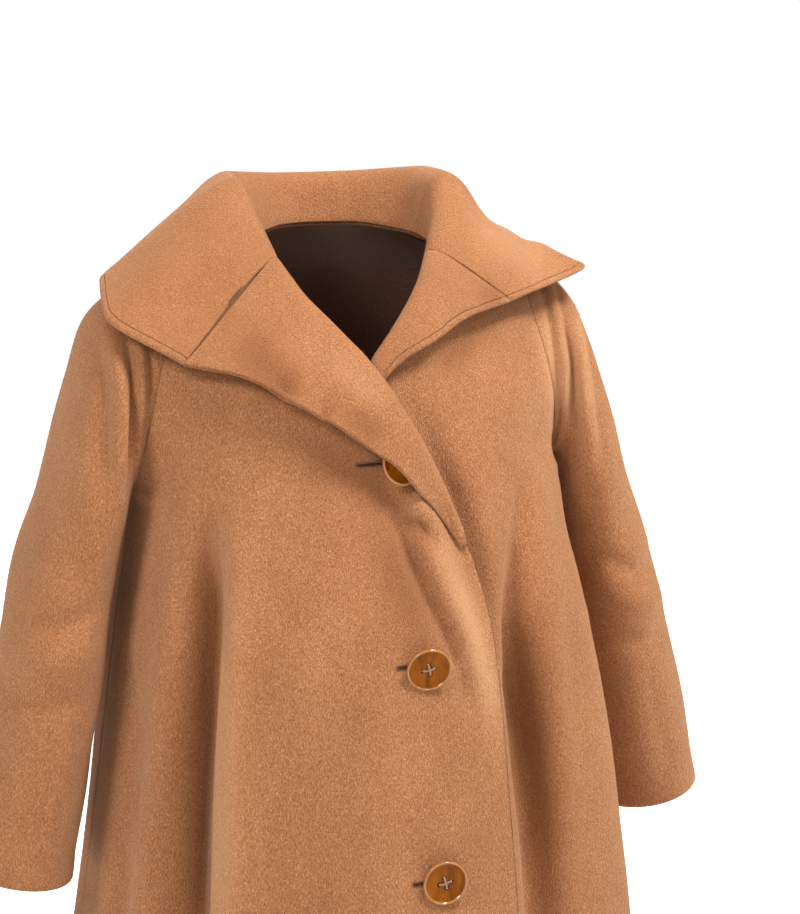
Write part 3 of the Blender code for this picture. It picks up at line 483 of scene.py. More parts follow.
creases = dict(  # depth, width, points across and up, in millimetres; depth below zero is a trough
    right=[
        (-7.5, 9, (-6, -206), (4, -238), (9, -266), (21, -300), (35, -336), (50, -378), (62, -430)),
        (4.0, 9, (22, -212), (38, -240), (51, -267), (67, -304), (78, -334)),
        (4.5, 6, (22, -214), (27, -238)),
        (-6.5, 5, (16, -240), (25, -250), (34, -264)),
        (3.5, 6, (38, -246), (48, -266)),
        (-3.0, 5, (26, -222), (40, -232)),
        (-2.6, 13, (-22, -192), (-66, -203), (-104, -196)),
        (-2.4, 15, (-34, -366), (-84, -342), (-126, -300)),
        (2.5, 12, (-146, -126), (-148, -220)),
        (-3.4, 20, (-52, -440), (-66, -560), (-62, -720)),
        (2.6, 22, (-104, -250), (-112, -420), (-120, -560)),
        (-2.0, 10, (-150, -96), (-172, -150)),
    ],
    left=[
        (-12.0, 15, (34, -150), (50, -190), (64, -232), (73, -268), (82, -312), (88, -352)),
        (-19.0, 14, (140, -230), (130, -296), (121, -344), (118, -400), (127, -460), (132, -560), (132, -760)),
        (-9.0, 13, (134, -258), (124, -310), (119, -350), (117, -400), (124, -446)),
        (5.0, 13, (168, -240), (160, -334), (158, -409), (162, -470), (168, -640)),
        (13.0, 20, (203, -196), (212, -250), (220, -300), (226, -350)),
        (-3.2, 9, (198, -150), (166, -188), (140, -206)),
        (2.4, 18, (74, -150), (92, -240), (98, -330)),
        (-2.2, 12, (150, -80), (166, -128)),
        (-3.6, 18, (72, -420), (66, -560), (60, -760)),
    ],
    back=[
        (-4.0, 16, (-96, -150), (-104, -300), (-120, -520)),
        (3.6, 18, (62, -190), (70, -380), (64, -600)),
        (-5.0, 15, (132, -260), (140, -470), (150, -760)),
        (-2.6, 10, (-196, -150), (-150, -186)),
        (-3.0, 9, (196, -140), (160, -188), (138, -204)),
    ],
    sleeve=[
        (5.5, 6, (188, -60), (193, -130), (211, -210)),
        (-7.5, 5.5, (198, -50), (198, -102), (203, -146), (215, -215)),
        (8.0, 6, (207, -48), (206, -103), (209, -152), (219, -225)),
        (-8.0, 6, (220, -46), (216, -95), (218, -142), (226, -220)),
        (7.0, 7, (234, -50), (226, -95), (227, -138), (234, -225)),
        (-6.0, 9, (250, -62), (242, -120), (246, -220)),
        (-5.0, 11, (246, -318), (286, -338), (322, -330)),
        (4.0, 13, (252, -356), (296, -372), (338, -372)),
        (-3.6, 10, (262, -404), (300, -414), (336, -402)),
        (-4.0, 15, (300, -430), (322, -520), (336, -590)),
    ],
    lapel=[
        (-5.0, 6, (-90, -112), (-98, -126)),
        (-4.0, 5.5, (-60, -136), (-66, -150)),
        (-2.2, 9, (-20, -140), (-36, -162)),
        (2.0, 10, (-110, -70), (-80, -104)),
        (-2.2, 8, (62, -74), (74, -88)),
        (1.8, 9, (96, -46), (104, -66)),
    ],
    collar=[
        (-13.0, 34, (146, 100), (176, -6)),
        (-3.0, 12, (148, 22), (184, -30)),
        (-6.0, 18, (170, 52), (202, -18)),
        (-3.0, 8, (184, 22), (204, -16)),
        (4.0, 7, (204, 4), (210, -24)),
        (3.5, 11, (136, -28), (170, -44)),
        (-2.4, 12, (-150, -40), (-176, -52), (-196, -44)),
        (2.2, 14, (-118, 6), (-150, -18)),
        (2.4, 10, (-116, 40), (-96, 52)),
    ],
)


def alongLine(points, line):  # distance from a line, share of its length, and side: above zero on its right
    line, flat = np.array(line, float), points[..., [0, 2]]
    run = runOf(line)
    near, share, side = np.full(flat.shape[:-1], 1e9), np.zeros(flat.shape[:-1]), np.zeros(flat.shape[:-1])
    for k, (a, b) in enumerate(zip(line, line[1:])):
        part = np.clip(((flat - a) @ (b - a)) / ((b - a) @ (b - a)), 0, 1)
        gap = flat - a - part[..., None] * (b - a)
        far = np.linalg.norm(gap, axis=-1)
        better = far < near
        near = np.where(better, far, near)
        share = np.where(better, (run[k] + part * (run[k + 1] - run[k])) / run[-1], share)
        side = np.where(better, np.sign(gap[..., 1] * (b - a)[0] - gap[..., 0] * (b - a)[1]), side)
    return near, share, side


creaseFade = dict(ends=0.3, rise=0.4, fall=0.3)  # depth left at the ends, shares of the length to full depth and back


def creaseDepth(points, entries):  # each one fades in and out along its length
    total = np.zeros(points.shape[:2])
    for depth, width, *line in entries:
        near, share, _ = alongLine(points, line)
        full = smooth(share / creaseFade["rise"]) * smooth((1 - share) / creaseFade["fall"])
        total += depth * mix(creaseFade["ends"], 1.0, full) * np.exp(-(near / width) ** 2)
    return total


edgeRoll = dict(  # swells from just before its line, holds for its reach and dies away
    before=2.0, width=8.0, reach=38.0, dying=14.0,
    line=[(9, -206), (11, -236), (15, -266), (26, -298), (40, -332), (54, -366), (67, -404), (78, -450)],
    height=[-208, -226, -240, -262, -292, -325, -370, -420, -450],
    rise=[0, 5, 10.5, 9.5, 7.8, 6.5, 4.5, 1.5, 0],
)


def rolledStrip(points):  # the right front's edge swells up from a valley below the lapel
    near, _, side = alongLine(points, edgeRoll["line"])
    across = near * side
    lift = smooth((across + edgeRoll["before"]) / edgeRoll["width"])
    lift = lift * np.exp(-(np.maximum(across - edgeRoll["reach"], 0) / edgeRoll["dying"]) ** 2)
    return lift * lookUp(edgeRoll, "rise", points[..., 2])


slackWaves = dict(count=7, upright=0.55, shortest=110, longest=240, phase=6.28, calm=3.0)
sag = dict(right=(1.6, 3), left=(1.6, 8), lapel=(1.1, 14), back=(1.8, 5), collar=(1.2, 11),
           sleeve=(2.0, 21))  # reach in millimetres, and seed


def slack(points, piece):  # slow unevenness of hung cloth
    reach, seed = sag[piece]
    total = np.zeros(points.shape[:2])
    rng = np.random.default_rng(seed)
    for _ in range(slackWaves["count"]):
        wave = rng.normal(size=3) * np.array([1.0, 1.0, slackWaves["upright"]])
        wave = wave * 2 * math.pi / rng.uniform(slackWaves["shortest"], slackWaves["longest"])
        total += np.sin(points @ wave + rng.uniform(0, slackWaves["phase"]))
    return total * reach / slackWaves["calm"]


def inside(rows, columns, edge):  # borders stay where their seams are
    i, j = np.arange(rows)[:, None], np.arange(columns)[None]
    return smooth(i / edge) * smooth((rows - 1 - i) / edge) * smooth(j / edge) * smooth((columns - 1 - j) / edge)


knownOut = dict(  # a spot on each grid, with the axis and sign that point outward there
    front=((70, 20), 1, -1), back=((70, backColumns), 1, 1), collar=((len(collar) // 2, 3), 1, 1),
    sleeve=((60, 0), 0, 1),
)


def outNormals():
    return ({side: outward(gridNormals(fronts[side]), *knownOut["front"]) for side in fronts},
            outward(gridNormals(back), *knownOut["back"]), outward(gridNormals(collar), *knownOut["collar"]),
            outward(gridNormals(sleeve, True), *knownOut["sleeve"]))


seamCalm = dict(body=9, roll=4.0, sleeveHead=10.0, cuff=6.0)  # columns or rows over which creases die out
pressed = dict(share=1.3, until=100, fade=20.0)  # the left front gives way where the right one's trough presses on it
lapelDent = dict(start=9, fade=6.0, end=-300, endFade=60.0)  # columns past the roll line, then heights
collarDent = dict(start=12, fade=6.0, edge=5, edgeFade=8.0, behind=55, behindFade=50.0)  # columns, then depths
sleeveDent = dict(turn=0.15, fade=0.5, arm=6, shift=(6.0, 0.0, 34.0), behind=0.8)  # the arm's creases pass behind it

frontOut, backOut, collarOut, sleeveOut = outNormals()
column = np.arange(fronts["left"].shape[1])
body = falling(column, bodyColumns - 1, seamCalm["roll"])[None]
for side in fronts:
    world = fronts[side] * (flip if side == "right" else 1.0)
    push = creaseDepth(world, creases[side]) + slack(world, side)
    if side == "right":
        push += rolledStrip(world)
    else:
        trough = pressed["share"] * creaseDepth(world, creases["right"][:1])
        push += trough * falling(world[..., 0], pressed["until"], pressed["fade"])
    dents = creaseDepth(world, creases["lapel"]) + slack(world, "lapel")
    turned = rising(column, bodyColumns + lapelDent["start"], lapelDent["fade"])[None]
    turned = turned * rising(lowEdges[side], lapelDent["end"], lapelDent["endFade"])[:, None]
    fronts[side] = fronts[side] - frontOut[side] * (dents * turned)[..., None]
    fronts[side] = fronts[side] + frontOut[side] * (push * body * rising(column, 0, seamCalm["body"]))[..., None]
push = (creaseDepth(back, creases["back"]) + slack(back, "back")) * inside(*back.shape[:2], seamCalm["body"])
back = back + backOut * push[..., None]
column = np.arange(collar.shape[1])
fall = rising(column, collarDent["start"], collarDent["fade"])
fall = fall * falling(column, len(column) - collarDent["edge"], collarDent["edgeFade"])
push = creaseDepth(collar, creases["collar"]) * falling(collar[..., 1], collarDent["behind"], collarDent["behindFade"])
collar = collar - collarOut * ((push + slack(collar, "collar")) * fall[None])[..., None]
faced = sleeveOut[..., 1]
push = creaseDepth(sleeve, creases["sleeve"]) * falling(faced, -sleeveDent["turn"], sleeveDent["fade"])
behind = creaseDepth(sleeve + np.array(sleeveDent["shift"]), creases["sleeve"][sleeveDent["arm"]:])
push += behind * rising(faced, sleeveDent["turn"], sleeveDent["fade"]) * sleeveDent["behind"]
row = np.arange(len(sleeve))[:, None]
push = (push + slack(sleeve, "sleeve")) * rising(row, 0, seamCalm["sleeveHead"])
sleeve = sleeve + sleeveOut * (push * falling(row, len(sleeve) - 1, seamCalm["cuff"]))[..., None]
frontOut, backOut, collarOut, sleeveOut = outNormals()
print("creases placed")


# walls


def cover(name, points, faces, material):
    mesh = bpy.data.meshes.new(name)
    mesh.from_pydata((np.asarray(points) * mm).tolist(), [], faces)
    mesh.materials.append(material)
    mesh.update()
    mesh.polygons.foreach_set("use_smooth", [True] * len(mesh.polygons))
    piece = bpy.data.objects.new(name, mesh)
    scene.collection.objects.link(piece)
    return piece


def borderLoop(rows, columns):
    loop = [(0, j) for j in range(columns - 1)] + [(i, columns - 1) for i in range(rows - 1)]
    return loop + [(rows - 1, j) for j in range(columns - 1, 0, -1)] + [(i, 0) for i in range(rows - 1, 0, -1)]


rimTurns, rimNap = (0.25, 0.5, 0.75), 0.7  # steps round an edge, and how thick its nap stands


def wall(name, grid, normals, near, far, material, closed=False, napSide="far"):  # round edges on every border
    rows, columns = grid.shape[:2]
    near = np.broadcast_to(near, (rows, columns)).astype(float)
    far = np.broadcast_to(far, (rows, columns)).astype(float)
    down = np.zeros_like(grid)
    down[0] = unit(grid[0] - grid[1])
    down[-1] = unit(grid[-1] - grid[-2])
    aside = np.zeros_like(grid)
    if closed:
        loops = [[(0, j) for j in range(columns)], [(rows - 1, j) for j in range(columns - 1, -1, -1)]]
    else:
        aside[:, 0] = unit(grid[:, 0] - grid[:, 1])
        aside[:, -1] = unit(grid[:, -1] - grid[:, -2])
        loops = [borderLoop(rows, columns)]
    beyond = down + aside
    beyond -= normals * np.sum(beyond * normals, -1, keepdims=True)
    thick = (far - near)[..., None] / 2
    middle = grid + normals * ((far + near)[..., None] / 2)
    middle = middle - beyond * thick
    grid = grid - beyond * thick
    count = rows * columns
    points = [(grid + normals * far[..., None]).reshape(-1, 3), (grid + normals * near[..., None]).reshape(-1, 3)]
    a = np.arange(count).reshape(rows, columns)
    right = np.roll(a, -1, 1) if closed else a[:, 1:]
    left = a if closed else a[:, :-1]
    quads = np.stack([left[:-1], left[1:], right[1:], right[:-1]], -1).reshape(-1, 4)
    faces = quads.tolist() + (quads[:, ::-1] + count).tolist()
    total = 2 * count
    for loop in loops:
        spots = np.array([i * columns + j for i, j in loop])
        rings = [spots]
        for turn in rimTurns:
            angle = math.pi * turn
            rim = middle + normals * thick * math.cos(angle) + beyond * thick * math.sin(angle)
            points.append(rim.reshape(-1, 3)[spots])
            rings.append(np.arange(total, total + len(spots)))
            total += len(spots)
        rings.append(spots + count)
        for upper, lower in zip(rings, rings[1:]):
            faces += np.stack([upper, np.roll(upper, -1), np.roll(lower, -1), lower], 1).tolist()
    piece = cover(name, np.concatenate(points), faces, material)
    nap = np.full(total, rimNap)
    nap[:count], nap[count:2 * count] = (1.0, 0.0) if napSide == "far" else (0.0, 1.0)
    piece.data.attributes.new("nap", "FLOAT", "POINT").data.foreach_set("value", nap)
    shape = bmesh.new()
    shape.from_mesh(piece.data)
    if shape.calc_volume(signed=True) < 0:
        bmesh.ops.reverse_faces(shape, faces=shape.faces)
    shape.to_mesh(piece.data)
    shape.free()
    return piece


def sheetArea(grid, closed=False):  # square metres
    if closed:
        grid = np.concatenate([grid, grid[:, :1]], 1)
    one = np.linalg.norm(np.cross(grid[1:, :-1] - grid[:-1, :-1], grid[:-1, 1:] - grid[:-1, :-1]), axis=-1)
    two = np.linalg.norm(np.cross(grid[1:, 1:] - grid[1:, :-1], grid[1:, 1:] - grid[:-1, 1:]), axis=-1)
    return float((one + two).sum() / 2) * mm * mm


# finishes


def setInputs(node, values):
    for label, value in values.items():
        node.inputs[label].default_value = value
    return node


def add(nodes, kind, values=None, **traits):  # a node with its traits and inputs set
    node = nodes.new(kind)
    for trait, value in traits.items():
        setattr(node, trait, value)
    return setInputs(node, values or {})


def wire(links, *joins):  # each join: node, its output, next node, its input
    for source, output, target, entrance in joins:
        links.new(source.outputs[output], target.inputs[entrance])


def freshMaterial(name):
    material = bpy.data.materials.new(name)
    material.use_nodes = True
    return material, material.node_tree.nodes, material.node_tree.links, material.node_tree.nodes["Principled BSDF"]


def groupWith(name, inputs, outputs):
    group = bpy.data.node_groups.new(name, "ShaderNodeTree")
    for label, value in inputs:
        group.interface.new_socket(label, in_out="INPUT", socket_type="NodeSocketFloat").default_value = value
    for label in outputs:
        group.interface.new_socket(label, in_out="OUTPUT", socket_type="NodeSocketFloat")
    return group, group.nodes.new("NodeGroupInput"), group.nodes.new("NodeGroupOutput")


napNoise = dict(Grain=(300.0, 2.0, 0.55), Fibre=(900.0, 1.0, 0.5), Mottle=(13.0, 3.0, 0.6))  # scale, detail, roughness
napWeights = dict(Tone=dict(Grain=1.2, Mottle=0.24, Fibre=0.5), Height=dict(Grain=0.8, Fibre=0.3))
napLie = (1.0, 1.0, 0.45)  # the nap lies down the coat


def napGroup():  # short brushed nap: pebbly grain, finer fibre, broad mottling, added up round 0.5
    group, entry, leave = groupWith("brushedNap", [(label, row[0]) for label, row in napNoise.items()], napWeights)
    nodes, links = group.nodes, group.links
    coords, mapping = nodes.new("ShaderNodeTexCoord"), add(nodes, "ShaderNodeMapping", {"Scale": napLie})
    wire(links, (coords, "Object", mapping, "Vector"))
    noises = {}
    for label, (_, detail, rough) in napNoise.items():
        noises[label] = add(nodes, "ShaderNodeTexNoise", {"Detail": detail, "Roughness": rough})
        wire(links, (mapping, "Vector", noises[label], "Vector"), (entry, label, noises[label], "Scale"))
    for output, weights in napWeights.items():
        last = None
        for label, weight in weights.items():
            total = add(nodes, "ShaderNodeMath", {1: weight, 2: 0.5 - sum(weights.values()) / 2},
                        operation="MULTIPLY_ADD")
            wire(links, (noises[label], "Fac", total, 0))
            if last:
                wire(links, (last, 0, total, 2))
            last = total
        wire(links, (last, 0, leave, output))
    return group


brushedNap = napGroup()


def rampOf(nodes, stops):
    ramp = nodes.new("ShaderNodeValToRGB")
    band = ramp.color_ramp.elements
    while len(band) < len(stops):
        band.new(0.5)
    for element, (place, colour) in zip(band, stops):
        element.position = place
        element.color = (*colour, 1.0)
    return ramp


def nappedMaterial(name, look):  # coloured by the brushed nap
    material, nodes, links, shader = freshMaterial(name)
    nap = add(nodes, "ShaderNodeGroup", dict(zip(napNoise, look["scales"])), node_tree=brushedNap)
    ramp = rampOf(nodes, look["stops"])
    wire(links, (nap, "Tone", ramp, "Fac"), (ramp, "Color", shader, "Base Color"))
    setInputs(shader, look["shader"])
    if "bump" in look:
        bump = add(nodes, "ShaderNodeBump", look["bump"])
        wire(links, (nap, "Height", bump, "Height"), (bump, "Normal", shader, "Normal"))
    return material, nap, ramp


camelLook = dict(  # scales of grain, fibre and mottle
    scales=(980.0, 2000.0, 20.0),
    stops=[(0.15, (0.16, 0.052, 0.017)), (0.5, (0.378, 0.146, 0.056)), (0.9, (0.67, 0.355, 0.178))],
    shader={"Roughness": 0.88, "Specular IOR Level": 0.12, "Sheen Weight": 0.35, "Sheen Roughness": 0.5,
            "Sheen Tint": (1.0, 0.66, 0.40, 1.0)},
    bump={"Strength": 1.0, "Distance": 0.0022},
)


def makeCamel():  # strokes of the nap and painted light and shade shift its tone, and laid nap has a calmer grain
    material, nap, ramp = nappedMaterial("camelCoating", camelLook)
    nodes, links = material.node_tree.nodes, material.node_tree.links
    strokeAndPaint, laid = (add(nodes, "ShaderNodeAttribute", attribute_name=name) for name in ("brushed", "laid"))
    calm, tone = add(nodes, "ShaderNodeMix", {"B": 0.5}), nodes.new("ShaderNodeMath")
    wire(links, (laid, "Fac", calm, "Factor"), (nap, "Tone", calm, "A"), (calm, "Result", tone, 0),
         (strokeAndPaint, "Fac", tone, 1), (tone, "Value", ramp, "Fac"))
    return material


liningLook = dict(
    scales=(1400.0, 2600.0, 24.0), stops=[(0.2, (0.062, 0.029, 0.017)), (0.85, (0.15, 0.078, 0.046))],
    shader={"Roughness": 0.55, "Specular IOR Level": 0.2}, bump={"Strength": 0.25, "Distance": 0.0004},
)
camelCloth = makeCamel()
satinLining = nappedMaterial("brownLining", liningLook)[0]
print("finishes ready")


halfWall = cloth["wall"] / 2
topNear = -(halfWall + cloth["layerGap"])
topFar = topNear - cloth["topLayer"]
lip = dict(width=6.4, start=2.2, fade=2.6, over=0.25)  # millimetres
gorge = dict(seam=0.3, right=1.8, left=0.4, middle=0.66, reach=0.16)  # opening in millimetres, place along it
facings = dict(right=dict(last=-306, fade=50), left=dict(last=-122, fade=22),
               under=0.87, thin=0.5)  # share of the front's columns before it, and its thin end
liningAside = 0.2  # share of the back that it leaves free on each side
upperEnd = len(turnColumns["lip"]) - 4  # columns from the free edge where the upper cloth stops
made, areas = {}, {}


def edgeDistance(grid):  # distance from the free edge along each row
    steps = np.linalg.norm(np.diff(grid[:, ::-1], axis=1), axis=-1)
    far = np.concatenate([np.zeros((len(grid), 1)), np.cumsum(steps, 1)], 1)
    return far[:, ::-1]


def lipNear(grid, strength):  # the under cloth thickens to a rolled lip along its free edge
    rolled = falling(edgeDistance(grid), lip["width"] + lip["start"], lip["fade"]) * strength
    return -halfWall + (topFar + halfWall + lip["over"]) * rolled


def gorgeOpen(count, side):  # the seam between lapel and collar gapes a little at its middle
    part = np.linspace(0, 1, count)
    return (gorge["seam"] + gorge[side] * np.exp(-((part - gorge["middle"]) / gorge["reach"]) ** 2))[:, None]


for side in ("right", "left"):
    grid, out, low = fronts[side], frontOut[side], lowEdges[side]
    sign = flip if side == "right" else 1.0
    shown = rising(low, facings[side]["last"], facings[side]["fade"])[:, None]
    made["front_" + side] = wall("coatFront" + side.title(), grid * sign, out * sign,
                                 lipNear(grid, shown * (side == "left")), halfWall, camelCloth)
    areas["front_" + side] = sheetArea(grid)
    rows = low >= facings[side]["last"]
    columns = slice(int(bodyColumns * facings["under"]), grid.shape[1] - (upperEnd if side == "left" else 0))
    layer, layerOut = grid[rows, columns].copy(), out[rows, columns]
    layer[0] += unit(layer[1] - layer[0]) * gorgeOpen(layer.shape[1], side)
    made["facing_" + side] = wall("coatFacing" + side.title(), layer * sign, layerOut * sign,
                                  mix(topNear - facings["thin"], topFar, shown[rows]), topNear, camelCloth,
                                  napSide="near")
    areas["facing_" + side] = sheetArea(layer)
made["back"] = wall("coatBack", back, backOut, -halfWall, halfWall, camelCloth)
liningRows = fine["shoulderRows"] - 1 + len(armholeFine["back"][::fine["bodySkip"]])
liningColumns = slice(int(backColumns * liningAside), -int(backColumns * liningAside))
lining, liningOut = back[:liningRows, liningColumns], backOut[:liningRows, liningColumns]
made["lining"] = wall("coatLining", lining, liningOut, topNear - cloth["lining"], topNear, satinLining)
made["under_collar"] = wall("coatUnderCollar", collar, collarOut, lipNear(collar, 1.0), halfWall, camelCloth)
upper = collar[:, :-upperEnd].copy()
for end, step in ((0, 1), (-1, -2)):
    side = "right" if upper[end, 0, 0] < 0 else "left"
    upper[end] += unit(upper[step] - upper[end]) * gorgeOpen(upper.shape[1], side)
made["collar"] = wall("coatCollar", upper, collarOut[:, :-upperEnd], topFar, topNear, camelCloth, napSide="near")
for side, sign in (("left", 1.0), ("right", flip)):
    made["sleeve_" + side] = wall("coatSleeve" + side.title(), sleeve * sign, sleeveOut * sign, -halfWall, halfWall,
                                  camelCloth, True)
    areas["sleeve_" + side] = sheetArea(sleeve, True)
areas.update(back=sheetArea(back), lining=sheetArea(lining), under_collar=sheetArea(collar), collar=sheetArea(upper))

strokesAndPaintedLight = [  # pale above zero, dark below it, width, points across and up; partly nap strokes, mostly painted light and shade: painted shadow under both lapels, painted shade in the lapel dents, the crumples below the first button and the left front's trough, painted highlights on the rolled strip, the left half of the collar and along the left armhole
    (0.26, 15, (26, -226), (36, -262), (50, -300), (66, -346), (78, -396), (86, -450)),
    (-0.15, 22, (-14, -222), (-6, -258), (6, -306), (16, -350)),
    (-0.22, 6, (14, -238), (24, -250), (33, -262)),
    (-0.12, 7, (-86, -110), (-99, -127)),
    (-0.09, 6, (-58, -138), (-67, -149)),
    (-0.16, 20, (-126, -66), (-112, -98), (-84, -128)),
    (0.14, 16, (-60, -84), (-24, -124), (-4, -156)),
    (-0.14, 18, (-40, -132), (-10, -172)),
    (0.16, 34, (112, 24), (150, 6), (182, -16), (206, -40)),
    (-0.15, 14, (112, -42), (134, -62)),
    (0.24, 15, (190, -60), (198, -120), (207, -190)),
    (0.16, 14, (224, -60), (224, -120), (232, -190)),
    (-0.13, 34, (112, -300), (126, -420), (130, -560)),
    (-0.12, 16, (-84, -168), (-40, -194), (0, -220)),
    (-0.12, 13, (56, -120), (90, -100), (124, -84)),
]
sideFold = dict(  # a painted highlight on the ridge of the right side's fold, and painted shade in the hollow behind it
    pale=0.18, dark=-0.32, width=13, start=(-130, -300), lean=0.155, fade=12.0,
    line=[(-148, -250), (-152, -300), (-158, -350), (-164, -410), (-170, -480), (-177, -570), (-182, -700)],
)
laidNap = dict(collar=0.42, under_collar=0.42, facing_right=0.22, facing_left=0.3)  # how calm a piece's grain is
strokePaintReach = dict(front=20, fade=40.0, calm=0.16, rub=1.8, most=0.65)  # strokes and painted light and shade stay on the front; the grain is calmer where they are strong
for node, piece in made.items():
    spots = np.array([vertex.co[:] for vertex in piece.data.vertices])[:, None] / mm
    y, z = spots[:, 0, 1:].T
    # painted shade and painted highlights, together with the nap strokes, make up the tone shift
    shade = creaseDepth(spots, strokesAndPaintedLight)[:, 0] * falling(y, strokePaintReach["front"], strokePaintReach["fade"])
    # painted shade behind the fold's ridge, painted highlight in front of it
    depth, level = sideFold["start"]
    ahead = smooth((depth - (level - z) * sideFold["lean"] - y) / sideFold["fade"] + 0.5)
    near = creaseDepth(spots, [(1.0, sideFold["width"], *sideFold["line"])])[:, 0] * (y < 0)
    shade += near * mix(sideFold["dark"], sideFold["pale"], ahead)
    flat = np.clip(laidNap.get(node, strokePaintReach["calm"]) + strokePaintReach["rub"] * np.abs(shade), 0.0, strokePaintReach["most"])
    for name, values in (("brushed", shade), ("laid", flat)):
        piece.data.attributes.new(name, "FLOAT", "POINT").data.foreach_set("value", values)
print("cloth:", sum(len(piece.data.polygons) for piece in made.values()) * 2, "triangles")

# buttons

buttonLook = dict(
    radius=21.0, height=5.2, sides=96, hole=2.3, holeReach=5.6, holeSides=20, holeTurn=0.25, drillPast=3.0,
    seat=-1.2, seatMost=9.0, seatRings=(0.0, 0.4, 0.8), seatSpokes=16, seatProbe=16.0,
    droop=dict(button_1=1.0, button_2=24.0, button_3=13.0),  # degrees
    turned=dict(button_1=-10.0, button_2=7.0, button_3=5.0),
    profile=[(0.0, 0.0), (0.70, 0.0), (0.88, 0.06), (0.96, 0.22), (0.99, 0.42), (1.0, 0.60), (0.995, 0.76),
             (0.98, 0.90), (0.96, 0.98), (0.94, 1.0), (0.92, 0.97), (0.905, 0.88), (0.885, 0.76), (0.86, 0.68),
             (0.80, 0.63), (0.60, 0.585), (0.45, 0.57), (0.36, 0.565), (0.0, 0.56)],  # shares of radius and height
    rim=dict(height=0.60, rise=0.2, share=0.875, fade=0.03),
)
strandLook = dict(radius=0.62, sides=7, strands=2, points=13, apart=0.85, gather=0.6, floor=0.565, arch=0.9, over=0.8,
                  sink=0.4, beyond=0.2)
hornLook = dict(
    streak={"Scale": 70.0, "Detail": 4.0, "Distortion": 1.2}, stretch=(1.0, 1.0, 0.35),
    stops=[(0.3, (0.10, 0.024, 0.001)), (0.5, (0.22, 0.058, 0.002)), (0.75, (0.32, 0.092, 0.004))],
    rim=(0.38, 0.155, 0.045, 1.0), polish={1: 0.95, 2: 0.04},  # a paler rim colour, partly a painted highlight on the raised edge, and what the rim adds to the face's coat
    shader={"Roughness": 0.3, "Specular IOR Level": 0.05, "Coat Roughness": 0.06},
)
beigeLook = dict(scales=(1800.0, 4200.0, 120.0), shader={"Roughness": 0.6},
                 stops=[(0.2, (0.20, 0.09, 0.058)), (0.8, (0.46, 0.26, 0.18))])
brownLook = dict(beigeLook, stops=[(0.2, (0.11, 0.044, 0.022)), (0.8, (0.28, 0.125, 0.064))])
# colours of the painted shade inside the buttonhole's opening
slitShadeLook = dict(scales=(900.0, 2000.0, 60.0), shader={"Roughness": 0.95, "Specular IOR Level": 0.0},
                stops=[(0.2, (0.030, 0.013, 0.006)), (0.8, (0.10, 0.042, 0.018))])


def makeHorn():
    material, nodes, links, shader = freshMaterial("amberHorn")
    coords, mapping = nodes.new("ShaderNodeTexCoord"), add(nodes, "ShaderNodeMapping", {"Scale": hornLook["stretch"]})
    streak = add(nodes, "ShaderNodeTexNoise", hornLook["streak"])
    ramp = rampOf(nodes, hornLook["stops"])
    rim = add(nodes, "ShaderNodeAttribute", attribute_name="rim")
    # the raised rim is mixed toward a paler amber, partly a painted highlight
    colour = add(nodes, "ShaderNodeMix", {"B": hornLook["rim"]}, data_type="RGBA")
    polish = add(nodes, "ShaderNodeMath", hornLook["polish"], operation="MULTIPLY_ADD")
    wire(links, (coords, "Object", mapping, "Vector"), (mapping, "Vector", streak, "Vector"),
         (streak, "Fac", ramp, "Fac"), (rim, "Fac", colour, "Factor"), (ramp, "Color", colour, "A"),
         (colour, "Result", shader, "Base Color"), (rim, "Fac", polish, 0), (polish, "Value", shader, "Coat Weight"))
    setInputs(shader, hornLook["shader"])
    return material


amberHorn = makeHorn()
holeShade = nappedMaterial("buttonholeShade", slitShadeLook)[0]
beigeThread = nappedMaterial("beigeThread", beigeLook)[0]
brownThread = nappedMaterial("brownThread", brownLook)[0]


def nodeTree(name, inputs):
    tree = bpy.data.node_groups.new(name, "GeometryNodeTree")
    tree.interface.new_socket("Geometry", in_out="INPUT", socket_type="NodeSocketGeometry")
    for label, kind, value in inputs:
        socket = tree.interface.new_socket(label, in_out="INPUT", socket_type="NodeSocket" + kind)
        socket.default_value = value
    tree.interface.new_socket("Material", in_out="INPUT", socket_type="NodeSocketMaterial")
    tree.interface.new_socket("Geometry", in_out="OUTPUT", socket_type="NodeSocketGeometry")
    return tree, tree.nodes.new("NodeGroupInput"), tree.nodes.new("NodeGroupOutput")


def closeTree(tree, entry, leave, source, output):  # real geometry in the given material
    real = tree.nodes.new("GeometryNodeRealizeInstances")
    paint = tree.nodes.new("GeometryNodeSetMaterial")
    wire(tree.links, (source, output, real, "Geometry"), (real, "Geometry", paint, "Geometry"),
         (entry, "Material", paint, "Material"), (paint, "Geometry", leave, "Geometry"))
    return tree


def threadTree():  # thread along the edges of a mesh
    tree, entry, leave = nodeTree("sewingThread", [("Thread Radius", "Float", 0.0005), ("Sides", "Int", 6)])
    nodes = tree.nodes
    path, ring = nodes.new("GeometryNodeMeshToCurve"), nodes.new("GeometryNodeCurvePrimitiveCircle")
    tube = add(nodes, "GeometryNodeCurveToMesh", {"Fill Caps": True})
    wire(tree.links, (entry, "Geometry", path, "Mesh"), (entry, "Sides", ring, "Resolution"),
         (entry, "Thread Radius", ring, "Radius"), (path, "Curve", tube, "Curve"),
         (ring, "Curve", tube, "Profile Curve"))
    return closeTree(tree, entry, leave, tube, "Mesh")


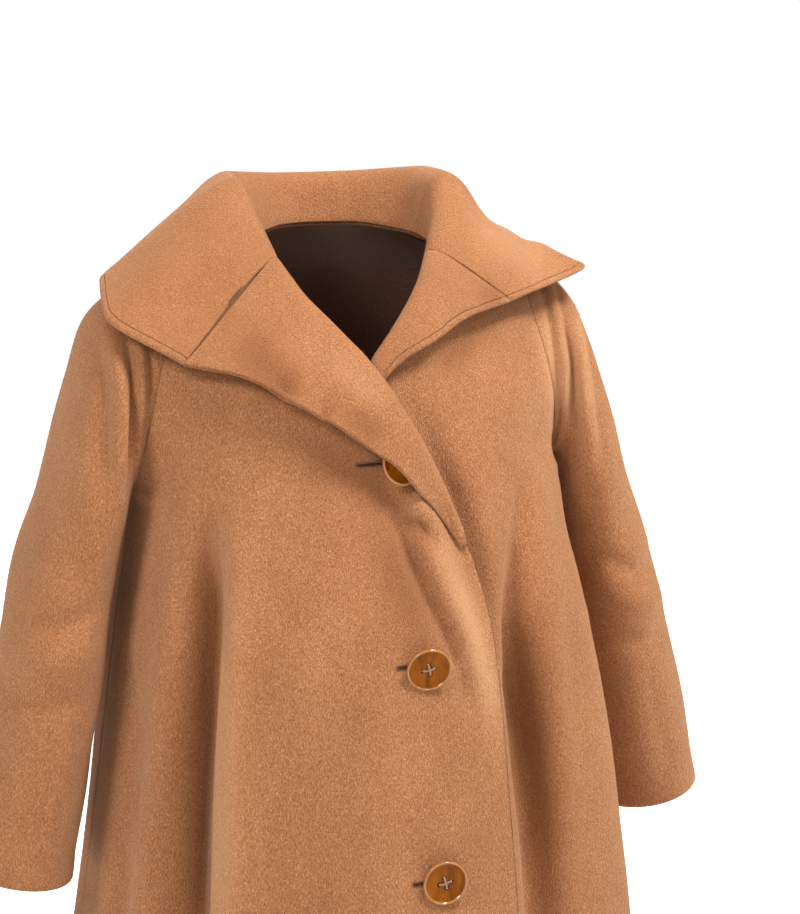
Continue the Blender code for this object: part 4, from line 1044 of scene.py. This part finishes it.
def grow(name, base, tree, values):  # runs a tree on a base mesh and keeps the plain result
    holder = bpy.data.objects.new(name + "Base", base)
    scene.collection.objects.link(holder)
    modifier = holder.modifiers.new("grow", "NODES")
    modifier.node_group = tree
    for item in tree.interface.items_tree:
        if item.item_type == "SOCKET" and item.in_out == "INPUT" and item.name in values:
            modifier[item.identifier] = values[item.name]
    graph = bpy.context.evaluated_depsgraph_get()
    mesh = bpy.data.meshes.new_from_object(holder.evaluated_get(graph))
    mesh.name = name
    bpy.data.objects.remove(holder)
    mesh.polygons.foreach_set("use_smooth", [True] * len(mesh.polygons))
    piece = bpy.data.objects.new(name, mesh)
    scene.collection.objects.link(piece)
    return piece


sewingThread = threadTree()


def lines(name, paths):  # mesh of bare edges, one chain for each path
    mesh = bpy.data.meshes.new(name)
    points, edges = [], []
    for path in paths:
        edges += [(len(points) + k, len(points) + k + 1) for k in range(len(path) - 1)]
        points += [tuple(np.asarray(spot) * mm) for spot in path]
    mesh.from_pydata(points, edges, [])
    return mesh


def treeOf(piece):
    return BVHTree.FromPolygons([v.co for v in piece.data.vertices], [p.vertices for p in piece.data.polygons])


frontTree = treeOf(made["front_right"])


def onFront(spot, out, probe=9.0):  # point of the right front below a spot, or None
    hit = frontTree.ray_cast(Vector((spot + out * probe) * mm), Vector(-out))
    return None if hit[0] is None else np.array(hit[0]) / mm


def spoke(turn, aside, upward):  # direction at an angle in the plane of a button
    return math.cos(turn) * aside + math.sin(turn) * upward


def turnedBy(first, second, degrees):  # two directions turned together
    turn = math.radians(degrees)
    return first * math.cos(turn) - second * math.sin(turn), second * math.cos(turn) + first * math.sin(turn)


def buttonFrame(node):
    low, high = (np.array(corner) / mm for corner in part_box(node))
    points = np.array([v.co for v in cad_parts[node].data.vertices]) / mm
    middle = points.mean(0)
    axes = np.linalg.eigh(np.cov((points - middle).T))[1]
    out = axes[:, 0] if axes[1, 0] < 0 else -axes[:, 0]
    aside = unit(np.cross(np.array([0.0, 0.0, 1.0]), out))
    base = (low + high) / 2
    base = base + out * ((middle - base) @ out + ((points - middle) @ out).min())
    return base, aside, np.cross(out, aside), out


def seatButton(base, aside, upward, out):  # rests on the highest cloth under it
    room = []
    for share in buttonLook["seatRings"]:
        for turn in np.linspace(0, 2 * math.pi, buttonLook["seatSpokes"], endpoint=False):
            spot = base + buttonLook["radius"] * share * spoke(turn, aside, upward)
            hit = onFront(spot, out, buttonLook["seatProbe"])
            if hit is not None:
                room.append((hit - spot) @ out)
    most = buttonLook["seatMost"]
    return base + out * (float(np.clip(max(room), -most, most)) + buttonLook["seat"])


def hornDisc(name, base, aside, upward, out):
    profile, sides, rim = buttonLook["profile"], buttonLook["sides"], buttonLook["rim"]
    points, faces, rims = [], [], []
    starts = np.cumsum([0] + [1 if share == 0 else sides for share, height in profile])
    for i, (share, height) in enumerate(profile):
        for k in range(starts[i + 1] - starts[i]):
            points.append(base + out * height * buttonLook["height"]
                          + buttonLook["radius"] * share * spoke(2 * math.pi * k / sides, aside, upward))
            rims.append(float(rising(height, rim["height"], rim["rise"]) * rising(share, rim["share"], rim["fade"])))
    for i in range(len(profile) - 1):
        a, b = starts[i], starts[i + 1]
        for k in range(sides):
            n = (k + 1) % sides
            if profile[i][0] == 0:
                faces.append((a, b + n, b + k))
            elif profile[i + 1][0] == 0:
                faces.append((a + k, a + n, b))
            else:
                faces.append((a + k, a + n, b + n, b + k))
    piece = cover(name, points, faces, amberHorn)
    piece.data.attributes.new("rim", "FLOAT", "POINT").data.foreach_set("value", rims)
    return piece


def drillHoles(piece, corners, base, aside, upward, out):
    sides, past = buttonLook["holeSides"], buttonLook["drillPast"]
    drill = bmesh.new()
    for corner in corners:
        spot = base + buttonLook["holeReach"] * spoke(corner, aside, upward)
        rings = []
        for height in (-past, buttonLook["height"] + past):
            spots = [spot + out * height + buttonLook["hole"] * spoke(2 * math.pi * j / sides, aside, upward)
                     for j in range(sides)]
            rings.append([drill.verts.new(tuple(point * mm)) for point in spots])
            drill.faces.new(rings[-1])
        for j in range(sides):
            n = (j + 1) % sides
            drill.faces.new([rings[0][j], rings[0][n], rings[1][n], rings[1][j]])
    bmesh.ops.recalc_face_normals(drill, faces=drill.faces)
    tool = bpy.data.objects.new("drill", bpy.data.meshes.new("drill"))
    drill.to_mesh(tool.data)
    drill.free()
    scene.collection.objects.link(tool)
    cut = piece.modifiers.new("holes", "BOOLEAN")
    cut.solver = "EXACT"
    cut.object = tool
    done = bpy.data.meshes.new_from_object(piece.evaluated_get(bpy.context.evaluated_depsgraph_get()))
    piece.modifiers.remove(cut)
    piece.data = done
    bpy.data.objects.remove(tool)
    flat, sliver = 0.98, 4e-8  # level faces and the slivers beside the holes stay flat
    for polygon in done.polygons:
        polygon.use_smooth = abs(Vector(out).dot(polygon.normal)) < flat and polygon.area > sliver


def crossThread(name, corners, base, aside, upward, out):  # crossed strands from hole to hole
    paths = []
    lift = buttonLook["height"] * strandLook["floor"] + strandLook["radius"]
    reach = buttonLook["holeReach"] + strandLook["beyond"]
    for order in (0, 1):
        start, end = (base + spoke(corners[order + k], aside, upward) * reach for k in (0, 2))
        sideways = unit(np.cross(out, end - start))
        for k in range(strandLook["strands"]):
            slip = (k - (strandLook["strands"] - 1) / 2) * strandLook["apart"]
            path = [start + out * strandLook["sink"]]
            for part in np.linspace(0, 1, strandLook["points"]):
                arch = lift + (strandLook["arch"] + strandLook["over"] * order) * math.sin(math.pi * part)
                aslant = sideways * slip * mix(strandLook["gather"], 1.0, part)
                path.append(mix(start, end, part) + out * arch + aslant)
            paths.append(path + [end + out * strandLook["sink"]])
    return grow(name, lines(name, paths), sewingThread,
                {"Thread Radius": strandLook["radius"] * mm, "Sides": strandLook["sides"], "Material": beigeThread})


buttons = {}
for node in ("button_1", "button_2", "button_3"):
    buttons[node] = base, aside, upward, out = buttonFrame(node)
    out, upward = turnedBy(out, upward, buttonLook["droop"][node])
    out, aside = turnedBy(out, aside, buttonLook["turned"][node])
    placing = seatButton(base, aside, upward, out), aside, upward, out
    corners = [math.pi / 2 * k + buttonLook["holeTurn"] for k in range(4)]
    piece = hornDisc("coat" + node.title().replace("_", ""), *placing)
    drillHoles(piece, corners, *placing)
    thread = crossThread("buttonThread" + node[-1], corners, *placing)
    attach(piece, "root")
    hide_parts(node)
    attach(thread, "root")
print("buttons sewn on")

# buttonholes

holeLook = dict(reach=dict(button_1=38.0, button_2=28.5, button_3=30.0), inner=9.0, gap=0.75, bar=1.0, pitch=1.0,
                stitch=2.5, rise=1.5, thread=0.34, sink=(0.6, 0.4), uneven=(0.82, 1.15), fan=0.9, points=90)
slitShape = dict(start=0.6, end=-6.0, rows=30, narrow=0.35, widen=0.85, over=5.0, raised=0.45,
                 round=((1, 0.1), (0, 0.45), (-1, 0.1), (0, -0.8)))  # round: side, and drop below its raised lips


def stitchTree():  # short arched stitches across the lips of a slit
    tree, entry, leave = nodeTree("buttonholeStitches", [
        ("Pitch", "Float", 0.001), ("Stitch Length", "Float", 0.0025), ("Rise", "Float", 0.0008),
        ("Thread Radius", "Float", 0.0003)])
    nodes = tree.nodes
    sink, uneven = holeLook["sink"], holeLook["uneven"]
    path, even = nodes.new("GeometryNodeMeshToCurve"), add(nodes, "GeometryNodeResampleCurve", mode="LENGTH")
    halved = add(nodes, "ShaderNodeMath", {1: 0.5}, operation="MULTIPLY")
    middle, far = nodes.new("ShaderNodeCombineXYZ"), add(nodes, "ShaderNodeCombineXYZ", {"Z": -sink[1] * mm})
    arch = add(nodes, "GeometryNodeCurveQuadraticBezier", {"Resolution": 6, "Start": (0.0, 0.0, -sink[0] * mm)})
    ring = add(nodes, "GeometryNodeCurvePrimitiveCircle", {"Resolution": 5})
    tube = add(nodes, "GeometryNodeCurveToMesh", {"Fill Caps": True})
    across, above = (add(nodes, "GeometryNodeInputNamedAttribute", {"Name": label}, data_type="FLOAT_VECTOR")
                     for label in ("lipOut", "lipUp"))
    turn = add(nodes, "FunctionNodeAxesToRotation", primary_axis="X", secondary_axis="Z")
    size = add(nodes, "FunctionNodeRandomValue", {2: uneven[0], 3: uneven[1]})
    copies = nodes.new("GeometryNodeInstanceOnPoints")
    wire(tree.links, (entry, "Geometry", path, "Mesh"), (path, "Curve", even, "Curve"),
         (entry, "Pitch", even, "Length"), (entry, "Stitch Length", halved, 0), (halved, 0, middle, "X"),
         (entry, "Rise", middle, "Z"), (entry, "Stitch Length", far, "X"), (middle, 0, arch, "Middle"),
         (far, 0, arch, "End"), (entry, "Thread Radius", ring, "Radius"), (arch, "Curve", tube, "Curve"),
         (ring, "Curve", tube, "Profile Curve"), (across, "Attribute", turn, "Primary Axis"),
         (above, "Attribute", turn, "Secondary Axis"), (even, "Curve", copies, "Points"),
         (tube, "Mesh", copies, "Instance"), (turn, "Rotation", copies, "Rotation"), (size, 1, copies, "Scale"))
    return closeTree(tree, entry, leave, copies, "Instances")


buttonholeStitches = stitchTree()


def makeStitches(node):  # round both lips and the end bar
    base, aside, upward, out = buttons[node]
    reach, inner, bar = holeLook["reach"][node], holeLook["inner"], holeLook["bar"]
    track, leans = [], []
    for x, side in ((-inner, 1), (-reach + bar, 1), (-reach, 0), (-reach + bar, -1), (-inner, -1)):
        track.append(base + aside * x + upward * side * holeLook["gap"])
        leans.append(unit(upward * side - aside * (holeLook["fan"] if abs(x) > reach - 1.5 * bar else 0.0)))
    track, leans = np.array(track), np.array(leans)
    where = np.linspace(0, runOf(track)[-1], holeLook["points"])
    leans = unit(np.stack([np.interp(where, runOf(track), leans[:, k]) for k in range(3)], 1))
    spots = [onFront(spot, out) for spot in pick(track, where)]
    found = [k for k, spot in enumerate(spots) if spot is not None]
    mesh = lines("lips", [[spots[k] for k in found]])
    for label, values in (("lipOut", leans[found]), ("lipUp", np.tile(out, (len(found), 1)))):
        mesh.attributes.new(label, "FLOAT_VECTOR", "POINT").data.foreach_set("vector", values.ravel())
    return grow("buttonholeStitches" + node[-1], mesh, buttonholeStitches, {
        "Pitch": holeLook["pitch"] * mm, "Stitch Length": holeLook["stitch"] * mm, "Rise": holeLook["rise"] * mm,
        "Thread Radius": holeLook["thread"] * mm, "Material": brownThread})


def makeSlit(node):  # dark strip between the lips: painted shade standing in for the opening
    base, aside, upward, out = buttons[node]
    reach, points, faces = holeLook["reach"][node], [], []
    for k, x in enumerate(np.linspace(-reach + slitShape["start"], slitShape["end"], slitShape["rows"])):
        share = slitShape["narrow"] + slitShape["widen"] * float(rising(x, -reach, slitShape["over"]))
        spot = onFront(base + aside * x, out)
        spot = base + aside * x if spot is None else spot
        for side, drop in slitShape["round"]:
            points.append(spot + upward * side * holeLook["gap"] * share + out * (slitShape["raised"] - drop))
        if k:
            a, b = 4 * (k - 1), 4 * k
            faces += [(a + i, a + (i + 1) % 4, b + (i + 1) % 4, b + i) for i in range(4)]
    faces += [(3, 2, 1, 0), tuple(len(points) - 4 + i for i in range(4))]
    return cover("buttonholeSlit" + node[-1], points, faces, holeShade)


for node in buttons:
    for extra in (makeStitches(node), makeSlit(node)):
        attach(extra, "root")
print("buttonholes worked")

# nap that stands off the cloth

napLook = dict(density=32000.0, length=3.0, width=0.17, stand=0.42, lay=0.9, stray=0.55, seed=7, uneven=(0.55, 1.25))
fibreLook = dict(
    scales=(420.0, 1100.0, 11.0), shader={"Roughness": 0.7, "Specular IOR Level": 0.2},
    stops=[(0.2, (0.34, 0.135, 0.052)), (0.55, (0.52, 0.235, 0.10)), (0.9, (0.70, 0.37, 0.19))],
)


def napTree():  # short hairs that stand, lie downward and stray
    tree, entry, leave = nodeTree("standingNap", [
        ("Density", "Float", 30000.0), ("Length", "Float", 0.003), ("Width", "Float", 0.0002), ("Stand", "Float", 0.4),
        ("Lay", "Float", 0.9), ("Stray", "Float", 0.5), ("Seed", "Int", 1)])
    nodes, uneven = tree.nodes, napLook["uneven"]
    weight = add(nodes, "GeometryNodeInputNamedAttribute", {"Name": "nap"}, data_type="FLOAT")
    dense = add(nodes, "ShaderNodeMath", operation="MULTIPLY")
    scatter = nodes.new("GeometryNodeDistributePointsOnFaces")
    stand, lay, stray, both, sway = (add(nodes, "ShaderNodeVectorMath", operation=operation)
                                     for operation in ("SCALE", "SCALE", "SCALE", "ADD", "ADD"))
    setInputs(lay, {0: (0.0, 0.0, -1.0)})
    loose = add(nodes, "FunctionNodeRandomValue", {"Min": (-1.0, -1.0, -1.0)}, data_type="FLOAT_VECTOR")
    aim = add(nodes, "FunctionNodeAlignRotationToVector", axis="Z")
    hair = add(nodes, "GeometryNodeMeshCone", {"Vertices": 3}, fill_type="NGON")
    size = add(nodes, "FunctionNodeRandomValue", {2: uneven[0], 3: uneven[1]})
    copies = nodes.new("GeometryNodeInstanceOnPoints")
    wire(tree.links, (weight, "Attribute", dense, 0), (entry, "Density", dense, 1), (dense, 0, scatter, "Density"),
         (entry, "Geometry", scatter, "Mesh"), (entry, "Seed", scatter, "Seed"), (entry, "Seed", loose, "Seed"),
         (scatter, "Normal", stand, 0), (entry, "Stand", stand, "Scale"), (entry, "Lay", lay, "Scale"),
         (loose, "Value", stray, 0), (entry, "Stray", stray, "Scale"), (stand, 0, both, 0), (lay, 0, both, 1),
         (both, 0, sway, 0), (stray, 0, sway, 1), (sway, 0, aim, "Vector"), (entry, "Width", hair, "Radius Bottom"),
         (entry, "Length", hair, "Depth"), (scatter, "Points", copies, "Points"), (hair, "Mesh", copies, "Instance"),
         (aim, "Rotation", copies, "Rotation"), (size, 1, copies, "Scale"))
    return closeTree(tree, entry, leave, copies, "Instances")


camelNap = nappedMaterial("camelNap", fibreLook)[0]
standingNap = napTree()
naps = {}
for node, piece in made.items():
    if node == "lining":
        continue
    name = "nap" + piece.name[4:]
    naps[node] = grow(name, piece.data.copy(), standingNap, {
        "Density": napLook["density"], "Length": napLook["length"] * mm, "Width": napLook["width"] * mm,
        "Stand": napLook["stand"], "Lay": napLook["lay"], "Stray": napLook["stray"], "Seed": napLook["seed"],
        "Material": camelNap})
    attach(naps[node], "root")
    print(name, len(naps[node].data.polygons), "faces")

for node, piece in made.items():
    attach(piece, "root")
    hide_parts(node)

# camera, floor and light

view = dict(ahead=(0.3345, 0.9193, -0.2079), aside=(0.9397, -0.3420, 0.0), distance=2.0, shiftX=0.061,
            shiftY=-0.2114, pixels=2100.0, frameLong=914.0, sensor=36.0)  # the long side of an 800 by 914 frame


def makeCamera():
    ahead, aside = Vector(view["ahead"]).normalized(), Vector(view["aside"]).normalized()
    up = aside.cross(ahead).normalized()
    spot = -ahead * view["distance"] + aside * view["shiftX"] + up * view["shiftY"]
    data = bpy.data.cameras.new("photoCamera")
    data.lens = view["pixels"] / view["frameLong"] * view["sensor"]
    data.sensor_width = view["sensor"]
    data.clip_end = 60.0
    camera = bpy.data.objects.new("photoCamera", data)
    rows = [(aside[k], up[k], -ahead[k], spot[k]) for k in range(3)]
    camera.matrix_world = Matrix(rows + [(0.0, 0.0, 0.0, 1.0)])
    scene.collection.objects.link(camera)
    scene.camera = camera


makeCamera()

studio = dict(
    floor=-1.35, reach=9.0, corners=48,
    paper={"Base Color": (0.86, 0.86, 0.86, 1.0), "Roughness": 0.9, "Emission Color": (1.0, 1.0, 1.0, 1.0),
           "Emission Strength": 1.0},
    room={"Color": (1.0, 0.99, 0.97, 1.0), "Strength": 0.05}, seen={"Color": (1.0, 1.0, 1.0, 1.0), "Strength": 1.0},
)
lamps = [  # name, place, aim, size, watts
    ("leftKey", (-1.76, -1.04, 1.37), (0.0, -0.1, -0.3), 0.7, 44.0),
    ("topSoft", (0.94, -0.89, 2.0), (0.0, -0.1, -0.3), 0.7, 88.0),
    ("frontFill", (0.44, -2.57, 0.37), (0.0, -0.1, -0.3), 1.6, 6.0),
    ("rightSide", (2.0, -1.2, 1.1), (0.0, -0.1, -0.3), 0.9, 17.0),
    ("backSoft", (-0.4, 2.9, 1.3), (0.0, 0.1, -0.4), 1.6, 60.0),
]


def makeStudio():
    turns = np.linspace(0, 2 * math.pi, studio["corners"], endpoint=False)
    points = [(studio["reach"] * math.cos(k), studio["reach"] * math.sin(k), studio["floor"]) for k in turns]
    paper, _, _, shader = freshMaterial("palePaper")
    setInputs(shader, studio["paper"])
    cover("paleFloor", np.array(points) / mm, [tuple(range(len(points)))], paper)
    world = bpy.data.worlds.new("softRoom")
    world.use_nodes = True
    nodes = world.node_tree.nodes
    room = setInputs(nodes["Background"], studio["room"])
    seen = add(nodes, "ShaderNodeBackground", studio["seen"])
    path, either = nodes.new("ShaderNodeLightPath"), nodes.new("ShaderNodeMixShader")
    wire(world.node_tree.links, (path, "Is Camera Ray", either, "Fac"), (room, "Background", either, 1),
         (seen, "Background", either, 2), (either, "Shader", nodes["World Output"], "Surface"))
    scene.world = world
    for name, place, aim, size, watts in lamps:
        data = bpy.data.lights.new(name, "AREA")
        data.shape = "SQUARE"
        data.size = size
        data.energy = watts
        lamp = bpy.data.objects.new(name, data)
        lamp.location = place
        lamp.rotation_euler = (Vector(aim) - Vector(place)).to_track_quat("-Z", "Y").to_euler()
        scene.collection.objects.link(lamp)
    scene.view_settings.view_transform = "Standard"
    scene.view_settings.look = "None"


makeStudio()
print("studio ready")
